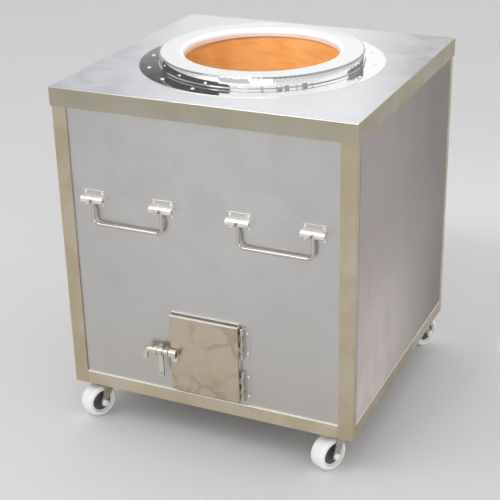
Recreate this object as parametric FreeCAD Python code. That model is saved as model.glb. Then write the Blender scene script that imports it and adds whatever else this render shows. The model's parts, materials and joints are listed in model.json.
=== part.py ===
import FreeCAD
import Part
import math
import os
from FreeCAD import Vector

# Square charcoal tandoor on castors, in millimetres.
# The origin is on the floor under the middle of the cabinet, +Z is up,
# the front with the ash door faces -Y and the right side faces +X.

# Cabinet
BODY_WIDTH = 710.0
BODY_DEPTH = 685.0
BODY_HEIGHT = 738.0
CASTOR_HEIGHT = 96.0

# Angle iron frame
ANGLE_THICK = 4.0
ANGLE_EDGE_RADIUS = 2.0
POST_FACE = 35.0
POST_SIDE = 20.0
RAIL_HEIGHT = 35.0
RAIL_SHELF = 40.0
CORNER_PLATE = 100.0
TOP_ANGLE = 25.0
TOP_ANGLE_THICK = 3.0

# Sheet metal casing
PANEL_SHEET = 1.2
PANEL_SEAM = 2.0
PANEL_LIP = 14.0
CAP_SHEET = 1.5
CAP_OVERHANG = 3.0
CAP_SKIRT = 43.0
CAP_EDGE_RADIUS = 2.5
BASE_SHEET = 2.0
SEAT_CLEAR = 0.3

# Mouth ring and flange
MOUTH_RADIUS = 178.0
RING_WIDTH = 57.0
RING_HEIGHT = 28.0
RING_SHEET = 2.0
RING_EDGE_RADIUS = 4.0
RING_LIP = 20.0
LIP_EDGE_RADIUS = 12.0
RING_FOOT_WIDTH = 2.5
RING_FOOT_HEIGHT = 5.0
FLANGE_MARGIN = 47.0
FLANGE_SHEET = 2.0
FLANGE_RIVETS = 16
FLANGE_RIVET_MARGIN = 22.0
FLANGE_RIVET_RADIUS = 4.8
FLANGE_RIVET_HEIGHT = 2.2

# Clay pot and what is packed round it
LIP_CLEAR = 1.0
RIM_CLEAR = 1.0
NECK_WALL = 32.0
NECK_HEIGHT = 105.0
NECK_CLEAR = 3.0
POT_BELLY_RADIUS = 272.0
POT_BELLY_RISE = 165.0
POT_WALL = 34.0
POT_FOOT_RADIUS = 256.0
ASH_PIT_RADIUS = 185.0
POT_BASE_RADIUS = 262.0
HEARTH_THICK = 40.0
HEARTH_MARGIN = 6.0
FILL_CLEAR = 0.5
FILL_DROP = 1.0

# Fire grate
GRATE_RADIUS = 208.0
GRATE_THICK = 14.0
GRATE_CLEAR = 4.0
GRATE_RIM = 18.0
GRATE_SLOT = 15.0
GRATE_PITCH = 30.0
GRATE_RISE = 17.0

# Ash door opening, collar and air tunnel
OPENING_WIDTH = 146.0
OPENING_HEIGHT = 168.0
OPENING_RISE = 60.0
TUNNEL_SHEET = 2.0
TUNNEL_CLEAR = 1.0
TUNNEL_BEDDING = 6.0
TUNNEL_SHY = 15.0
COLLAR_WALL = 11.0
COLLAR_DEPTH = 5.0
DOOR_LAP = 12.0
DOOR_TOP_LAP = 5.0
DOOR_FOOT_LAP = 17.0
DOOR_GAP = 0.5
DOOR_RIM = 8.0
DOOR_SHEET = 1.5
DOOR_EDGE_RADIUS = 1.5

# Butt hinges of the ash door
HINGE_HEIGHT = 75.0
HINGE_KNUCKLES = 5
HINGE_UPPER_DROP = 40.0
HINGE_LOWER_RISE = 40.0
HINGE_LEAF = 1.2
HINGE_FOOT_WIDTH = 14.0
HINGE_SIDE_GAP = 4.5
HINGE_SET_BACK = 0.5
KNUCKLE_RADIUS = 3.0
KNUCKLE_GAP = 0.5
HINGE_PIN_RADIUS = 1.6
HINGE_PIN_HEAD = 1.2
RUNNING_CLEAR = 0.05
LEAF_NOTCH_CLEAR = 1.2

# Slide bolt
BOLT_RADIUS = 7.0
BOLT_RISE = 98.5
BOLT_FACE_GAP = 2.0
BOLT_TIP_GAP = 1.5
BOLT_TRAVEL = 13.0
BOLT_STOP_GAP = 0.7
BOLT_BEND = 10.0
BOLT_PULL = 12.0
BOLT_COLLAR_RADIUS = 8.5
BOLT_COLLAR_WIDTH = 2.0
GUIDE_GAP = 0.5
GUIDE_LENGTH = 8.0
GUIDE_WALL = 3.0
GUIDE_FOOT = 16.0
GUIDE_FOOT_THICK = 2.5
KEEPER_INSET = 2.0
KEEPER_LENGTH = 18.0
KEEPER_CLEAR = 0.5
LEVER_WIDTH = 12.0
LEVER_THICK = 4.0
LEVER_LENGTH = 66.0
LEVER_FOOT_RADIUS = 4.5
LEVER_EYE_WALL = 3.0
LEVER_HOLE_RADIUS = 3.0
LEVER_HOLE_RISE = 9.0
LEVER_SIDE_CLEAR = 0.3

# Drop handles and their brackets, the offset from the cabinet's side to the middle of a handle
HANDLE_OFFSET = 177.0
HANDLE_SPAN = 172.0
HANDLE_PIVOT_RISE = 487.0
HANDLE_DROP = 57.0
HANDLE_ROD_RADIUS = 4.0
HANDLE_BEND = 14.0
HANDLE_PIN_RADIUS = 3.5
BRACKET_WIDTH = 54.0
BRACKET_ABOVE = 20.0
BRACKET_BELOW = 20.0
BRACKET_PLATE = 2.5
BRACKET_SLOT_CLEAR = 0.5
BRACKET_STAND = 11.0
BRACKET_NOSE_RADIUS = 8.0
BRACKET_RIVET_INSET = 5.5

# Domed rivets
RIVET_RADIUS = 3.2
RIVET_HEIGHT = 1.6

# Castors
CASTOR_INSET_X = 55.0
CASTOR_INSET_Y = 50.0
CASTOR_FRONT_TURN = -25.0
CASTOR_BACK_TURN = 155.0
CASTOR_TRAIL = 28.0
CASTOR_PLATE_X = 80.0
CASTOR_PLATE_Y = 64.0
CASTOR_PLATE_THICK = 3.0
CASTOR_BOLT_X = 56.0
CASTOR_BOLT_Y = 44.0
CASTOR_BOLT_RADIUS = 4.0
CASTOR_BOLT_TAIL = 6.8
BOLT_HOLE_CLEAR = 0.2
NUT_RADIUS = 7.5
NUT_HEIGHT = 6.0
RACE_RADIUS = 24.0
RACE_HEIGHT = 7.0
SWIVEL_GAP = 0.3
KINGPIN_RADIUS = 6.0
KINGPIN_HEAD_RADIUS = 10.0
KINGPIN_HEAD = 3.0
FORK_SHEET = 3.0
FORK_TOP_RADIUS = 30.0
FORK_INNER_HALF = 23.0
FORK_LEG_FRONT = 1.0
FORK_LEG_BACK = 20.0
FORK_LEG_DEPTH = 10.0
FORK_EYE_RADIUS = 8.0
WHEEL_RADIUS = 40.0
WHEEL_WIDTH = 40.0
WHEEL_SHOULDER = 9.0
WHEEL_DISH_RADIUS = 27.0
WHEEL_DISH_DEPTH = 7.0
WHEEL_DISH_FLARE = 2.5
HUB_RADIUS = 11.0
HUB_FLANGE_RADIUS = 24.0
HUB_FLANGE_THICK = 2.0
HUB_END_GAP = 0.5
HUB_FIT = 0.05
AXLE_RADIUS = 5.0
AXLE_NUT_RADIUS = 8.5
AXLE_TAIL = 2.0

LINE_TOLERANCE = 0.001
X_AXIS = Vector(1, 0, 0)
Y_AXIS = Vector(0, 1, 0)
Z_AXIS = Vector(0, 0, 1)
ORIGIN = Vector(0, 0, 0)
FRONT = -1
BACK = 1
LEFT = -1
RIGHT = 1

# Planes that several pieces share
HALF_W = BODY_WIDTH / 2
HALF_D = BODY_DEPTH / 2
FRAME_Z = CASTOR_HEIGHT
TOP_Z = CASTOR_HEIGHT + BODY_HEIGHT
UNDER_CAP_Z = TOP_Z - CAP_SHEET
SHELF_Z = FRAME_Z + ANGLE_THICK
BASE_TOP_Z = SHELF_Z + BASE_SHEET
HEARTH_Z = BASE_TOP_Z + HEARTH_THICK
INNER_X = HALF_W - ANGLE_THICK
PANEL_Y = HALF_D - ANGLE_THICK
PANEL_INNER_Y = PANEL_Y - PANEL_SHEET
LIP_INNER_X = INNER_X - PANEL_SHEET

RING_RADIUS = MOUTH_RADIUS + RING_WIDTH
FLANGE_RADIUS = RING_RADIUS + FLANGE_MARGIN
FLANGE_TOP_Z = TOP_Z + FLANGE_SHEET
RING_TOP_Z = FLANGE_TOP_Z + RING_HEIGHT
NECK_INNER = MOUTH_RADIUS + RING_SHEET + LIP_CLEAR
NECK_OUTER = NECK_INNER + NECK_WALL
CAP_HOLE_RADIUS = NECK_OUTER + NECK_CLEAR
RIM_Z = RING_TOP_Z - RING_SHEET - RIM_CLEAR
RIM_ROUND = LIP_EDGE_RADIUS - RING_SHEET - RIM_CLEAR

OPENING_Z0 = FRAME_Z + OPENING_RISE
OPENING_Z1 = OPENING_Z0 + OPENING_HEIGHT
TUNNEL_HALF = OPENING_WIDTH / 2 + TUNNEL_SHEET
GRATE_SEAT_Z = OPENING_Z1 + GRATE_RISE
GRATE_SEAT_RADIUS = GRATE_RADIUS + GRATE_CLEAR

DOOR_HALF = OPENING_WIDTH / 2 + DOOR_LAP
DOOR_Z0 = OPENING_Z0 - DOOR_FOOT_LAP
DOOR_Z1 = OPENING_Z1 + DOOR_TOP_LAP
DOOR_BACK = COLLAR_DEPTH + DOOR_GAP
DOOR_FACE = DOOR_BACK + DOOR_RIM

HINGE_X = DOOR_HALF + HINGE_LEAF + HINGE_SIDE_GAP + KNUCKLE_RADIUS
HINGE_STAND = DOOR_FACE - HINGE_SET_BACK - KNUCKLE_RADIUS
HINGE_CENTRES = (DOOR_Z0 + HINGE_LOWER_RISE, DOOR_Z1 - HINGE_UPPER_DROP)

BOLT_STAND = DOOR_FACE + BOLT_FACE_GAP + BOLT_RADIUS
BOLT_Z = DOOR_Z0 + BOLT_RISE
BOLT_ROOM = BOLT_TRAVEL + BOLT_STOP_GAP
BOLT_TIP_X = -DOOR_HALF - BOLT_TIP_GAP
KEEPER_X0 = -DOOR_HALF + KEEPER_INSET
LEVER_X1 = KEEPER_X0 - BOLT_ROOM - BOLT_COLLAR_WIDTH - LEVER_SIDE_CLEAR
LEVER_X0 = LEVER_X1 - LEVER_WIDTH
GUIDE_X1 = LEVER_X0 - LEVER_SIDE_CLEAR - BOLT_COLLAR_WIDTH - GUIDE_GAP
GUIDE_X0 = GUIDE_X1 - GUIDE_LENGTH
BOLT_BEND_X = GUIDE_X0 - BOLT_ROOM

HANDLE_X = HALF_W - HANDLE_OFFSET
PIVOT_Z = FRAME_Z + HANDLE_PIVOT_RISE

CASTOR_X = HALF_W - CASTOR_INSET_X
CASTOR_Y = HALF_D - CASTOR_INSET_Y
CASTOR_PLATE_Z = FRAME_Z - CASTOR_PLATE_THICK
RACE_Z = CASTOR_PLATE_Z - RACE_HEIGHT
FORK_TOP_Z = RACE_Z - SWIVEL_GAP
FORK_CROWN_Z = FORK_TOP_Z - FORK_SHEET
FORK_OUTER_HALF = FORK_INNER_HALF + FORK_SHEET


def proud(distance):
    """Y of a plane that stands a distance in front of the front panel."""
    return -PANEL_Y - distance


def box(x0, x1, y0, y1, z0, z1):
    """Box between two corners."""
    return Part.makeBox(x1 - x0, y1 - y0, z1 - z0, Vector(x0, y0, z0))


def rod(radius, start, axis, length):
    """Round bar from a start point along an axis."""
    return Part.makeCylinder(radius, length, start, axis)


def prism(points, travel):
    """Straight extrusion of a closed outline."""
    outline = Part.makePolygon(points + [points[0]])
    return Part.Face(outline).extrude(travel)


def turned(edges, axis=Z_AXIS):
    """Solid of revolution of a closed profile about an axis through the origin."""
    return Part.Face(Part.Wire(edges)).revolve(ORIGIN, axis, 360)


def line(a, b):
    """Straight edge."""
    return Part.makeLine(a, b)


def arc(a, b, c):
    """Circular edge through three points."""
    return Part.Arc(a, b, c).toShape()


def polyline(points):
    """Chain of straight edges."""
    return [line(a, b) for a, b in zip(points, points[1:])]


def quarter(centre, radius, start, towards, point):
    """Quarter round edge about a centre, between two compass angles in a section."""
    middle = (start + towards) / 2
    stops = [math.radians(angle) for angle in (start, middle, towards)]
    spots = [point(centre[0] + radius * math.cos(a), centre[1] + radius * math.sin(a)) for a in stops]
    return arc(*spots)


def radial(radius, height):
    """Point of an upright turned profile."""
    return Vector(radius, 0, height)


def across(along, radius):
    """Point of a profile turned about the X axis."""
    return Vector(along, 0, radius)


def mirrored(shape, side_x=RIGHT, side_y=BACK):
    """Copy of a shape carried to another corner or side."""
    copy = shape.copy()
    if side_x == LEFT:
        copy = copy.mirror(ORIGIN, X_AXIS)
    if side_y == FRONT:
        copy = copy.mirror(ORIGIN, Y_AXIS)
    return copy


def edges_on_line(shape, point, axis):
    """Edges of a shape that lie on the line through a point along an axis."""
    found = []
    for edge in shape.Edges:
        offsets = [(vertex.Point - point).cross(axis).Length for vertex in edge.Vertexes]
        if max(offsets) < LINE_TOLERANCE:
            found.append(edge)
    return found


def group(solids):
    """Several separate solids in one piece."""
    return Part.makeCompound(solids)


def hexagon(radius, centre, axis, length):
    """Hexagonal nut or head with its corners on a radius."""
    points = []
    for step in range(6):
        angle = math.radians(60 * step)
        points.append(Vector(radius * math.cos(angle), radius * math.sin(angle), 0))
    solid = prism(points, Z_AXIS * length)
    solid.Placement = FreeCAD.Placement(centre, FreeCAD.Rotation(Z_AXIS, axis))
    return solid


def rivet(seat, axis, radius=RIVET_RADIUS, height=RIVET_HEIGHT):
    """Domed rivet head on a seat."""
    bulge = (radius ** 2 + height ** 2) / (2 * height)
    half = math.asin(radius / bulge) / 2
    waist = radial(bulge * math.sin(half), height - bulge + bulge * math.cos(half))
    top = radial(0, height)
    foot = radial(radius, 0)
    head = turned([arc(top, waist, foot), line(foot, ORIGIN), line(ORIGIN, top)])
    head.Placement = FreeCAD.Placement(seat, FreeCAD.Rotation(Z_AXIS, axis))
    return head


# Casing


def top_cap():
    """Folded lid with a deep skirt and the hole for the pot's neck."""
    x = HALF_W + CAP_OVERHANG
    y = HALF_D + CAP_OVERHANG
    foot_z = TOP_Z - CAP_SKIRT
    outside = box(-x, x, -y, y, foot_z, TOP_Z)
    rims = [edge for edge in outside.Edges if edge.CenterOfMass.z > foot_z + CAP_SHEET]
    outside = outside.makeFillet(CAP_EDGE_RADIUS, rims)
    x -= CAP_SHEET
    y -= CAP_SHEET
    inside = box(-x, x, -y, y, foot_z, UNDER_CAP_Z)
    hole = rod(CAP_HOLE_RADIUS, Vector(0, 0, UNDER_CAP_Z), Z_AXIS, CAP_SHEET)
    return outside.cut(inside).cut(hole)


def mouth_flange():
    """Flat polished disc round the mouth."""
    disc = rod(FLANGE_RADIUS, Vector(0, 0, TOP_Z), Z_AXIS, FLANGE_SHEET)
    return disc.cut(rod(CAP_HOLE_RADIUS, Vector(0, 0, TOP_Z), Z_AXIS, FLANGE_SHEET))


def mouth_ring():
    """Raised ring, pressed as an upside-down channel with a rolled lip and a beaded foot."""
    outer = RING_RADIUS
    inner = MOUTH_RADIUS
    foot = FLANGE_TOP_Z
    bead = outer + RING_FOOT_WIDTH
    bead_top = foot + RING_FOOT_HEIGHT
    top = RING_TOP_Z
    under = top - RING_SHEET
    lip = top - RING_LIP
    edge = RING_EDGE_RADIUS
    roll = LIP_EDGE_RADIUS
    edges = polyline([
        radial(outer - RING_SHEET, foot),
        radial(bead, foot),
        radial(bead, bead_top - RING_FOOT_WIDTH),
        radial(outer, bead_top),
        radial(outer, top - edge),
    ])
    edges.append(quarter((outer - edge, top - edge), edge, 0, 90, radial))
    edges.append(line(radial(outer - edge, top), radial(inner + roll, top)))
    bend = (inner + roll, top - roll)
    edges.append(quarter(bend, roll, 90, 180, radial))
    edges += polyline([
        radial(inner, top - roll),
        radial(inner, lip),
        radial(inner + RING_SHEET, lip),
        radial(inner + RING_SHEET, top - roll),
    ])
    edges.append(quarter(bend, roll - RING_SHEET, 180, 90, radial))
    edges += polyline([
        radial(inner + roll, under),
        radial(outer - RING_SHEET, under),
        radial(outer - RING_SHEET, foot),
    ])
    return turned(edges)


def flange_rivets():
    """Rivets that hold the flange to the cap, evenly round it."""
    ring = FLANGE_RADIUS - FLANGE_RIVET_MARGIN
    heads = []
    for step in range(FLANGE_RIVETS):
        angle = 2 * math.pi * (step + 0.5) / FLANGE_RIVETS
        seat = Vector(ring * math.cos(angle), ring * math.sin(angle), FLANGE_TOP_Z)
        heads.append(rivet(seat, Z_AXIS, FLANGE_RIVET_RADIUS, FLANGE_RIVET_HEIGHT))
    return group(heads)


def plain_panel():
    """Sheet behind the back posts and rail."""
    x = LIP_INNER_X - SEAT_CLEAR
    return box(-x, x, PANEL_INNER_Y, PANEL_Y, SHELF_Z, UNDER_CAP_Z)


def front_panel():
    """Front sheet with the ash door's opening."""
    half = OPENING_WIDTH / 2
    opening = box(-half, half, -PANEL_Y, -PANEL_INNER_Y, OPENING_Z0, OPENING_Z1)
    return mirrored(plain_panel(), side_y=FRONT).cut(opening)


def side_panel():
    """Right side sheet, flush with the frame, with joggled lips behind the posts and the rail."""
    face_y = HALF_D - POST_SIDE - PANEL_SEAM
    face_z = FRAME_Z + RAIL_HEIGHT + PANEL_SEAM
    lip_y = face_y + PANEL_LIP
    lip_z = face_z - PANEL_LIP
    pan = box(LIP_INNER_X, HALF_W, -face_y, face_y, face_z, UNDER_CAP_Z)
    pan = pan.fuse(box(LIP_INNER_X, INNER_X, -lip_y, lip_y, lip_z, UNDER_CAP_Z))
    y = face_y - PANEL_SHEET
    hollow = box(LIP_INNER_X, HALF_W - PANEL_SHEET, -y, y, face_z + PANEL_SHEET, UNDER_CAP_Z)
    return pan.cut(hollow).removeSplitter()


# Frame


def corner_post():
    """Back right angle post, from the rails' underside to the cap."""
    height = UNDER_CAP_Z - FRAME_Z
    face_x = HALF_W - POST_FACE
    side_y = HALF_D - POST_SIDE
    outline = [
        Vector(HALF_W, HALF_D, FRAME_Z),
        Vector(face_x, HALF_D, FRAME_Z),
        Vector(face_x, PANEL_Y, FRAME_Z),
        Vector(INNER_X, PANEL_Y, FRAME_Z),
        Vector(INNER_X, side_y, FRAME_Z),
        Vector(HALF_W, side_y, FRAME_Z),
    ]
    post = prism(outline, Z_AXIS * height)
    return post.makeFillet(ANGLE_EDGE_RADIUS, edges_on_line(post, outline[0], Z_AXIS))


def back_rail():
    """Bottom rail between the two back posts, with its shelf between the corner plates."""
    x = HALF_W - POST_FACE
    wall = box(-x, x, PANEL_Y, HALF_D, FRAME_Z, FRAME_Z + RAIL_HEIGHT)
    x = INNER_X - CORNER_PLATE
    shelf = box(-x, x, HALF_D - RAIL_SHELF, PANEL_Y, FRAME_Z, SHELF_Z)
    rail = wall.fuse(shelf).removeSplitter()
    return rail.makeFillet(ANGLE_EDGE_RADIUS, edges_on_line(rail, Vector(0, HALF_D, FRAME_Z), X_AXIS))


def right_rail():
    """Bottom rail of the right side."""
    y = HALF_D - POST_SIDE
    wall = box(INNER_X, HALF_W, -y, y, FRAME_Z, FRAME_Z + RAIL_HEIGHT)
    y = PANEL_Y - CORNER_PLATE
    shelf = box(HALF_W - RAIL_SHELF, INNER_X, -y, y, FRAME_Z, SHELF_Z)
    rail = wall.fuse(shelf).removeSplitter()
    return rail.makeFillet(ANGLE_EDGE_RADIUS, edges_on_line(rail, Vector(HALF_W, 0, FRAME_Z), Y_AXIS))


def top_frame():
    """Welded angle frame that stiffens the panels under the cap."""
    x = LIP_INNER_X - SEAT_CLEAR
    y = PANEL_INNER_Y
    foot = UNDER_CAP_Z - TOP_ANGLE
    under = UNDER_CAP_Z - TOP_ANGLE_THICK
    block = box(-x, x, -y, y, foot, UNDER_CAP_Z)
    wall_x = x - TOP_ANGLE_THICK
    wall_y = y - TOP_ANGLE_THICK
    ledge_x = x - TOP_ANGLE
    ledge_y = y - TOP_ANGLE
    block = block.cut(box(-wall_x, wall_x, -wall_y, wall_y, foot, under))
    return block.cut(box(-ledge_x, ledge_x, -ledge_y, ledge_y, under, UNDER_CAP_Z))


def base_plate():
    """Floor sheet of the cabinet, lying on the rails' shelves."""
    x = LIP_INNER_X - SEAT_CLEAR
    y = PANEL_INNER_Y - SEAT_CLEAR
    return box(-x, x, -y, y, SHELF_Z, BASE_TOP_Z)


def corners():
    """Signs of the four corners."""
    return [(x, y) for y in (FRONT, BACK) for x in (LEFT, RIGHT)]


def castor_bolt_places():
    """Centres of the four bolts of the back right castor."""
    places = []
    for side_x, side_y in corners():
        x = CASTOR_X + side_x * CASTOR_BOLT_X / 2
        y = CASTOR_Y + side_y * CASTOR_BOLT_Y / 2
        places.append(Vector(x, y, 0))
    return places


def drilled(plate, z, thickness):
    """Plate with the castor's four bolt holes."""
    for place in castor_bolt_places():
        start = place + Z_AXIS * z
        plate = plate.cut(rod(CASTOR_BOLT_RADIUS + BOLT_HOLE_CLEAR, start, Z_AXIS, thickness))
    return plate


def corner_plates():
    """Welded plates in the bottom corners that the castors bolt to."""
    x = INNER_X - CORNER_PLATE
    y = PANEL_Y - CORNER_PLATE
    plate = drilled(box(x, INNER_X, y, PANEL_Y, FRAME_Z, SHELF_Z), FRAME_Z, ANGLE_THICK)
    return group([mirrored(plate, *corner) for corner in corners()])


# Oven


def hearth_bed():
    """Refractory bed that the pot stands on."""
    x = LIP_INNER_X - HEARTH_MARGIN
    y = PANEL_INNER_Y - HEARTH_MARGIN
    return box(-x, x, -y, y, BASE_TOP_Z, HEARTH_Z)


def pot_outside(clear):
    """Edges of the pot's outer profile from rim to foot, let out by a clearance."""
    belly_z = GRATE_SEAT_Z + POT_BELLY_RISE
    neck = radial(NECK_OUTER + clear, RIM_Z - NECK_HEIGHT)
    belly = radial(POT_BELLY_RADIUS + clear, belly_z)
    foot = radial(POT_FOOT_RADIUS + clear, GRATE_SEAT_Z)
    return [line(radial(NECK_OUTER + clear, RIM_Z), neck), arc(neck, belly, foot)]


def tunnel_way(clear):
    """Block that the air tunnel and a clearance take up, from the front panel to the pot's axis."""
    x = TUNNEL_HALF + clear
    z0 = OPENING_Z0 - TUNNEL_SHEET - clear
    z1 = OPENING_Z1 + TUNNEL_SHEET + clear
    return box(-x, x, -PANEL_INNER_Y, 0, z0, z1)


def clay_pot():
    """Barrel-shaped clay oven with a straight neck and a rounded rim, open below over the fire grate."""
    belly_z = GRATE_SEAT_Z + POT_BELLY_RISE
    foot = radial(GRATE_SEAT_RADIUS, GRATE_SEAT_Z)
    neck = radial(NECK_INNER, RIM_Z - NECK_HEIGHT)
    belly = radial(POT_BELLY_RADIUS - POT_WALL, belly_z)
    edges = pot_outside(0)
    edges.append(line(radial(POT_FOOT_RADIUS, GRATE_SEAT_Z), foot))
    edges.append(arc(foot, belly, neck))
    bend = (NECK_INNER + RIM_ROUND, RIM_Z - RIM_ROUND)
    edges.append(line(neck, radial(NECK_INNER, RIM_Z - RIM_ROUND)))
    edges.append(quarter(bend, RIM_ROUND, 180, 90, radial))
    edges.append(line(radial(NECK_INNER + RIM_ROUND, RIM_Z), radial(NECK_OUTER, RIM_Z)))
    return turned(edges)


def base_cylinder(radius):
    """Full height of the pot's base at a radius."""
    return rod(radius, Vector(0, 0, HEARTH_Z), Z_AXIS, GRATE_SEAT_Z - HEARTH_Z)


def pot_base():
    """Refractory ring round the ash pit that carries the pot and the grate, open to the ash door."""
    ring = base_cylinder(POT_BASE_RADIUS).cut(base_cylinder(ASH_PIT_RADIUS))
    return ring.cut(tunnel_way(TUNNEL_BEDDING))


def insulation_fill():
    """Insulation packed between the pot and the casing."""
    x = LIP_INNER_X - SEAT_CLEAR
    y = PANEL_INNER_Y - SEAT_CLEAR
    top_z = UNDER_CAP_Z - TOP_ANGLE - FILL_DROP
    block = box(-x, x, -y, y, HEARTH_Z, top_z)
    edges = pot_outside(FILL_CLEAR)
    edges += polyline([
        radial(POT_FOOT_RADIUS + FILL_CLEAR, GRATE_SEAT_Z),
        radial(0, GRATE_SEAT_Z),
        radial(0, RIM_Z),
        radial(NECK_OUTER + FILL_CLEAR, RIM_Z),
    ])
    block = block.cut(turned(edges)).cut(base_cylinder(POT_BASE_RADIUS + FILL_CLEAR))
    return block.cut(tunnel_way(TUNNEL_CLEAR))


def air_tunnel():
    """Sheet duct from the ash door's opening into the pot's wall."""
    half = OPENING_WIDTH / 2
    end_y = -ASH_PIT_RADIUS - TUNNEL_SHY
    z0 = OPENING_Z0 - TUNNEL_SHEET
    z1 = OPENING_Z1 + TUNNEL_SHEET
    duct = box(-TUNNEL_HALF, TUNNEL_HALF, -PANEL_INNER_Y, end_y, z0, z1)
    return duct.cut(box(-half, half, -PANEL_INNER_Y, end_y, OPENING_Z0, OPENING_Z1))


def fire_grate():
    """Round cast grate with parallel slots inside a solid rim."""
    disc = rod(GRATE_RADIUS, Vector(0, 0, GRATE_SEAT_Z), Z_AXIS, GRATE_THICK)
    reach = GRATE_RADIUS - GRATE_RIM
    slots = []
    count = int((reach - GRATE_SLOT / 2) / GRATE_PITCH)
    for step in range(-count, count + 1):
        x = step * GRATE_PITCH
        y = math.sqrt(reach ** 2 - (abs(x) + GRATE_SLOT / 2) ** 2)
        half = GRATE_SLOT / 2
        slots.append(box(x - half, x + half, -y, y, GRATE_SEAT_Z, GRATE_SEAT_Z + GRATE_THICK))
    return disc.cut(group(slots))


# Ash door


def door_collar():
    """Raised frame round the opening that the door shuts against."""
    half = OPENING_WIDTH / 2
    wall = half + COLLAR_WALL
    z0 = OPENING_Z0 - COLLAR_WALL
    z1 = OPENING_Z1 + COLLAR_WALL
    ring = box(-wall, wall, proud(COLLAR_DEPTH), proud(0), z0, z1)
    return ring.cut(box(-half, half, proud(COLLAR_DEPTH), proud(0), OPENING_Z0, OPENING_Z1))


def ash_door():
    """Door folded as a shallow tray, open towards the oven."""
    tray = box(-DOOR_HALF, DOOR_HALF, proud(DOOR_FACE), proud(DOOR_BACK), DOOR_Z0, DOOR_Z1)
    folds = [edge for edge in tray.Edges if edge.CenterOfMass.y < proud(DOOR_BACK + DOOR_SHEET)]
    tray = tray.makeFillet(DOOR_EDGE_RADIUS, folds)
    x = DOOR_HALF - DOOR_SHEET
    z0 = DOOR_Z0 + DOOR_SHEET
    z1 = DOOR_Z1 - DOOR_SHEET
    return tray.cut(box(-x, x, proud(DOOR_FACE - DOOR_SHEET), proud(DOOR_BACK), z0, z1))


def knuckle(z0, z1):
    """Hinge barrel with the pin's running fit."""
    start = Vector(HINGE_X, proud(HINGE_STAND), z0)
    barrel = rod(KNUCKLE_RADIUS, start, Z_AXIS, z1 - z0)
    return barrel, rod(HINGE_PIN_RADIUS + RUNNING_CLEAR, start, Z_AXIS, z1 - z0)


def hinge_steps(centre):
    """Bottom and top of each knuckle at one hinge, from below."""
    foot = centre - HINGE_HEIGHT / 2
    step = HINGE_HEIGHT / HINGE_KNUCKLES
    gap = KNUCKLE_GAP / 2
    return [(foot + i * step + gap, foot + (i + 1) * step - gap) for i in range(HINGE_KNUCKLES)]


def moving_leaf(centre):
    """Leaf on the door's side, with tongues to every second knuckle."""
    steps = hinge_steps(centre)
    front = proud(DOOR_FACE - DOOR_EDGE_RADIUS)
    leaf = box(DOOR_HALF, DOOR_HALF + HINGE_LEAF, front, proud(DOOR_BACK), steps[0][0], steps[-1][1])
    behind = HINGE_STAND - KNUCKLE_RADIUS
    for z0, z1 in steps[1::2]:
        barrel, bore = knuckle(z0, z1)
        tongue = box(DOOR_HALF, HINGE_X, proud(behind + HINGE_LEAF), proud(behind), z0, z1)
        leaf = leaf.fuse(tongue).fuse(barrel).cut(bore)
    return leaf.removeSplitter()


def fixed_leaf(centre):
    """Cranked leaf from the other knuckles back to the front panel."""
    steps = hinge_steps(centre)
    low = steps[0][0]
    high = steps[-1][1]
    outer_x = HINGE_X + KNUCKLE_RADIUS
    inner_x = outer_x - HINGE_LEAF
    pin_y = proud(HINGE_STAND)
    web = box(inner_x, outer_x, pin_y, proud(0), low, high)
    leaf = web.fuse(box(inner_x, inner_x + HINGE_FOOT_WIDTH, proud(HINGE_LEAF), proud(0), low, high))
    notch_y = pin_y + KNUCKLE_RADIUS + LEAF_NOTCH_CLEAR
    for z0, z1 in steps[1::2]:
        leaf = leaf.cut(box(inner_x, outer_x, pin_y, notch_y, z0 - KNUCKLE_GAP, z1 + KNUCKLE_GAP))
    for z0, z1 in steps[0::2]:
        barrel, bore = knuckle(z0, z1)
        leaf = leaf.fuse(barrel).cut(bore)
    return leaf.removeSplitter()


def hinge_pin(centre):
    """Headed pin through one hinge's knuckles."""
    steps = hinge_steps(centre)
    low = steps[0][0]
    high = steps[-1][1]
    start = Vector(HINGE_X, proud(HINGE_STAND), low)
    shank = rod(HINGE_PIN_RADIUS, start, Z_AXIS, high - low)
    seat = Vector(start.x, start.y, high)
    return shank.fuse(rod(KNUCKLE_RADIUS, seat, Z_AXIS, HINGE_PIN_HEAD))


def foot_rivets():
    """Two rivets in the foot of each hinge's fixed leaf."""
    x = HINGE_X + KNUCKLE_RADIUS + HINGE_FOOT_WIDTH / 2
    heads = []
    for centre in HINGE_CENTRES:
        for side in (-1, 1):
            seat = Vector(x, proud(HINGE_LEAF), centre + side * HINGE_HEIGHT / 3)
            heads.append(rivet(seat, Y_AXIS * FRONT))
    return heads


# Slide bolt


def bolt_saddle(x0, length, seat, clear):
    """Eye round the bolt on a low web, with a foot below it."""
    axis = Vector(x0, proud(BOLT_STAND), BOLT_Z)
    nose = BOLT_RADIUS + GUIDE_WALL
    end_x = x0 + length
    room = box(x0, end_x, axis.y - nose, proud(seat), BOLT_Z - nose, BOLT_Z + nose)
    eye = rod(nose, axis, X_AXIS, length).common(room)
    web = box(x0, end_x, axis.y, proud(seat), BOLT_Z - nose, BOLT_Z)
    foot = box(x0, end_x, proud(seat + GUIDE_FOOT_THICK), proud(seat), BOLT_Z - nose - GUIDE_FOOT, BOLT_Z)
    saddle = web.fuse(foot).fuse(eye)
    return saddle.cut(rod(BOLT_RADIUS + clear, axis, X_AXIS, length)).removeSplitter()


def saddle_rivets(x0, length, seat):
    """Two rivets in a saddle's foot, one below the other."""
    seat_y = proud(seat + GUIDE_FOOT_THICK)
    foot_top = BOLT_Z - BOLT_RADIUS - GUIDE_WALL
    levels = [foot_top - share * GUIDE_FOOT for share in (0.25, 0.75)]
    return [rivet(Vector(x0 + length / 2, seat_y, z), Y_AXIS * FRONT) for z in levels]


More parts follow.
